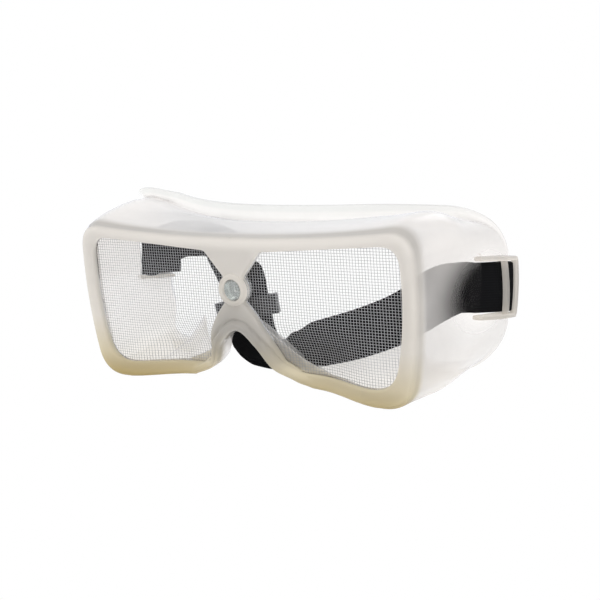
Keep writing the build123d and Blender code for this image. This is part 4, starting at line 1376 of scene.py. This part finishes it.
# %% [markdown]
# ## Floor and world
# The goggles stand on white paper in a white room. More light would wash out the milky walls, so
# the floor and the world only look white: what the camera sees, also through clear plastic, is
# plain white, and all other light meets matt paper and a soft, slightly blue sky.
# %% Floor and world
FLOOR_HALF, FLOOR_DROP = 3.0, 0.0002
corners = [(x * FLOOR_HALF, y * FLOOR_HALF, -FLOOR_DROP)
           for x, y in ((-1, -1), (1, -1), (1, 1), (-1, 1))]
floor_mesh = bpy.data.meshes.new("floor")
floor_mesh.from_pydata(corners, [], [(0, 1, 2, 3)])
floor = bpy.data.objects.new("floor", floor_mesh)
bpy.context.scene.collection.objects.link(floor)
paper = Nodes("floor_white")
paint(floor, paper.finish(paper.blend(
    paper.seen_ray(), paper.add("BsdfDiffuse", {"Color": (0.92, 0.92, 0.92, 1)}),
    paper.add("Emission", {"Color": WHITE, "Strength": 1.0}))))
room = Nodes("studio", world=True)
bpy.context.scene.world = room.finish(room.blend(
    room.seen_ray(), room.add("Background", {"Color": (0.96, 0.98, 1.0, 1), "Strength": 1.0}),
    room.add("Background", {"Color": WHITE, "Strength": 1.0})))
bpy.context.scene.view_settings.view_transform = "Standard"
print("world", bpy.context.scene.world.name)

# %% [markdown]
# ## Lights
# A product photo is lit from large soft boxes. Point lights would throw hard shadows of the mesh,
# so three square area lights are used: a key light in front above, a weak one from the right, and
# one behind that shines through the milky walls.
# %% Lights
AIM = (0, 0, 0.035)


def soft_light(name, place, size, power, colour):
    """A square area light of this size in metres and power in watts, turned to the goggles."""
    light = bpy.data.lights.new(name, "AREA")
    light.size, light.energy, light.color = size, power, colour
    lamp = bpy.data.objects.new(name, light)
    lamp.location = place
    lamp.rotation_euler = (Vector(AIM) - Vector(place)).to_track_quat("-Z", "Y").to_euler()
    bpy.context.scene.collection.objects.link(lamp)
    print(name, power, "W")


soft_light("key_light", (-0.25, -0.55, 0.75), 0.5, 3.0, (1, 0.99, 0.97))
soft_light("right_light", (0.75, -0.25, 0.35), 0.45, 1.0, (0.97, 0.98, 1))
soft_light("back_light", (0.1, 0.7, 0.6), 0.5, 1.5, (1, 1, 1))

# %% [markdown]
# ## Camera
# The camera stands to the right and a little above, with a long lens, and leans slightly clockwise.
# A Track To constraint would keep it upright, so its three directions are worked out instead: back
# from the goggles by azimuth and elevation, then right and up, both turned by the lean.
# %% Camera
AZIMUTH, ELEVATION, LEAN = math.radians(36.45), math.radians(11.9), math.radians(4.92)
DISTANCE, TARGET = 448.7, np.array((0.0, 25.0 + FRONT_Y, 35.0))
LENS, SENSOR, SHIFT = 66.0, 36.0, (0.0479, -0.0138)
back = np.array((math.sin(AZIMUTH) * math.cos(ELEVATION), -math.cos(AZIMUTH) * math.cos(ELEVATION),
                 math.sin(ELEVATION)))
level_right = np.array((math.cos(AZIMUTH), math.sin(AZIMUTH), 0.0))
level_up = np.cross(back, level_right)
camera_right = math.cos(LEAN) * level_right - math.sin(LEAN) * level_up
camera_up = math.sin(LEAN) * level_right + math.cos(LEAN) * level_up
camera_data = bpy.data.cameras.new("camera")
camera_data.lens, camera_data.sensor_width = LENS, SENSOR
camera_data.shift_x, camera_data.shift_y = SHIFT
camera_data.clip_start, camera_data.clip_end = 0.01, 20
camera = bpy.data.objects.new("camera", camera_data)
stand = Matrix((camera_right, camera_up, back)).transposed().to_4x4()
stand.translation = Vector((TARGET + back * DISTANCE) * MM)
camera.matrix_world = stand
bpy.context.scene.collection.objects.link(camera)
bpy.context.scene.camera = camera
print("camera at", [round(v, 4) for v in camera.matrix_world.translation])
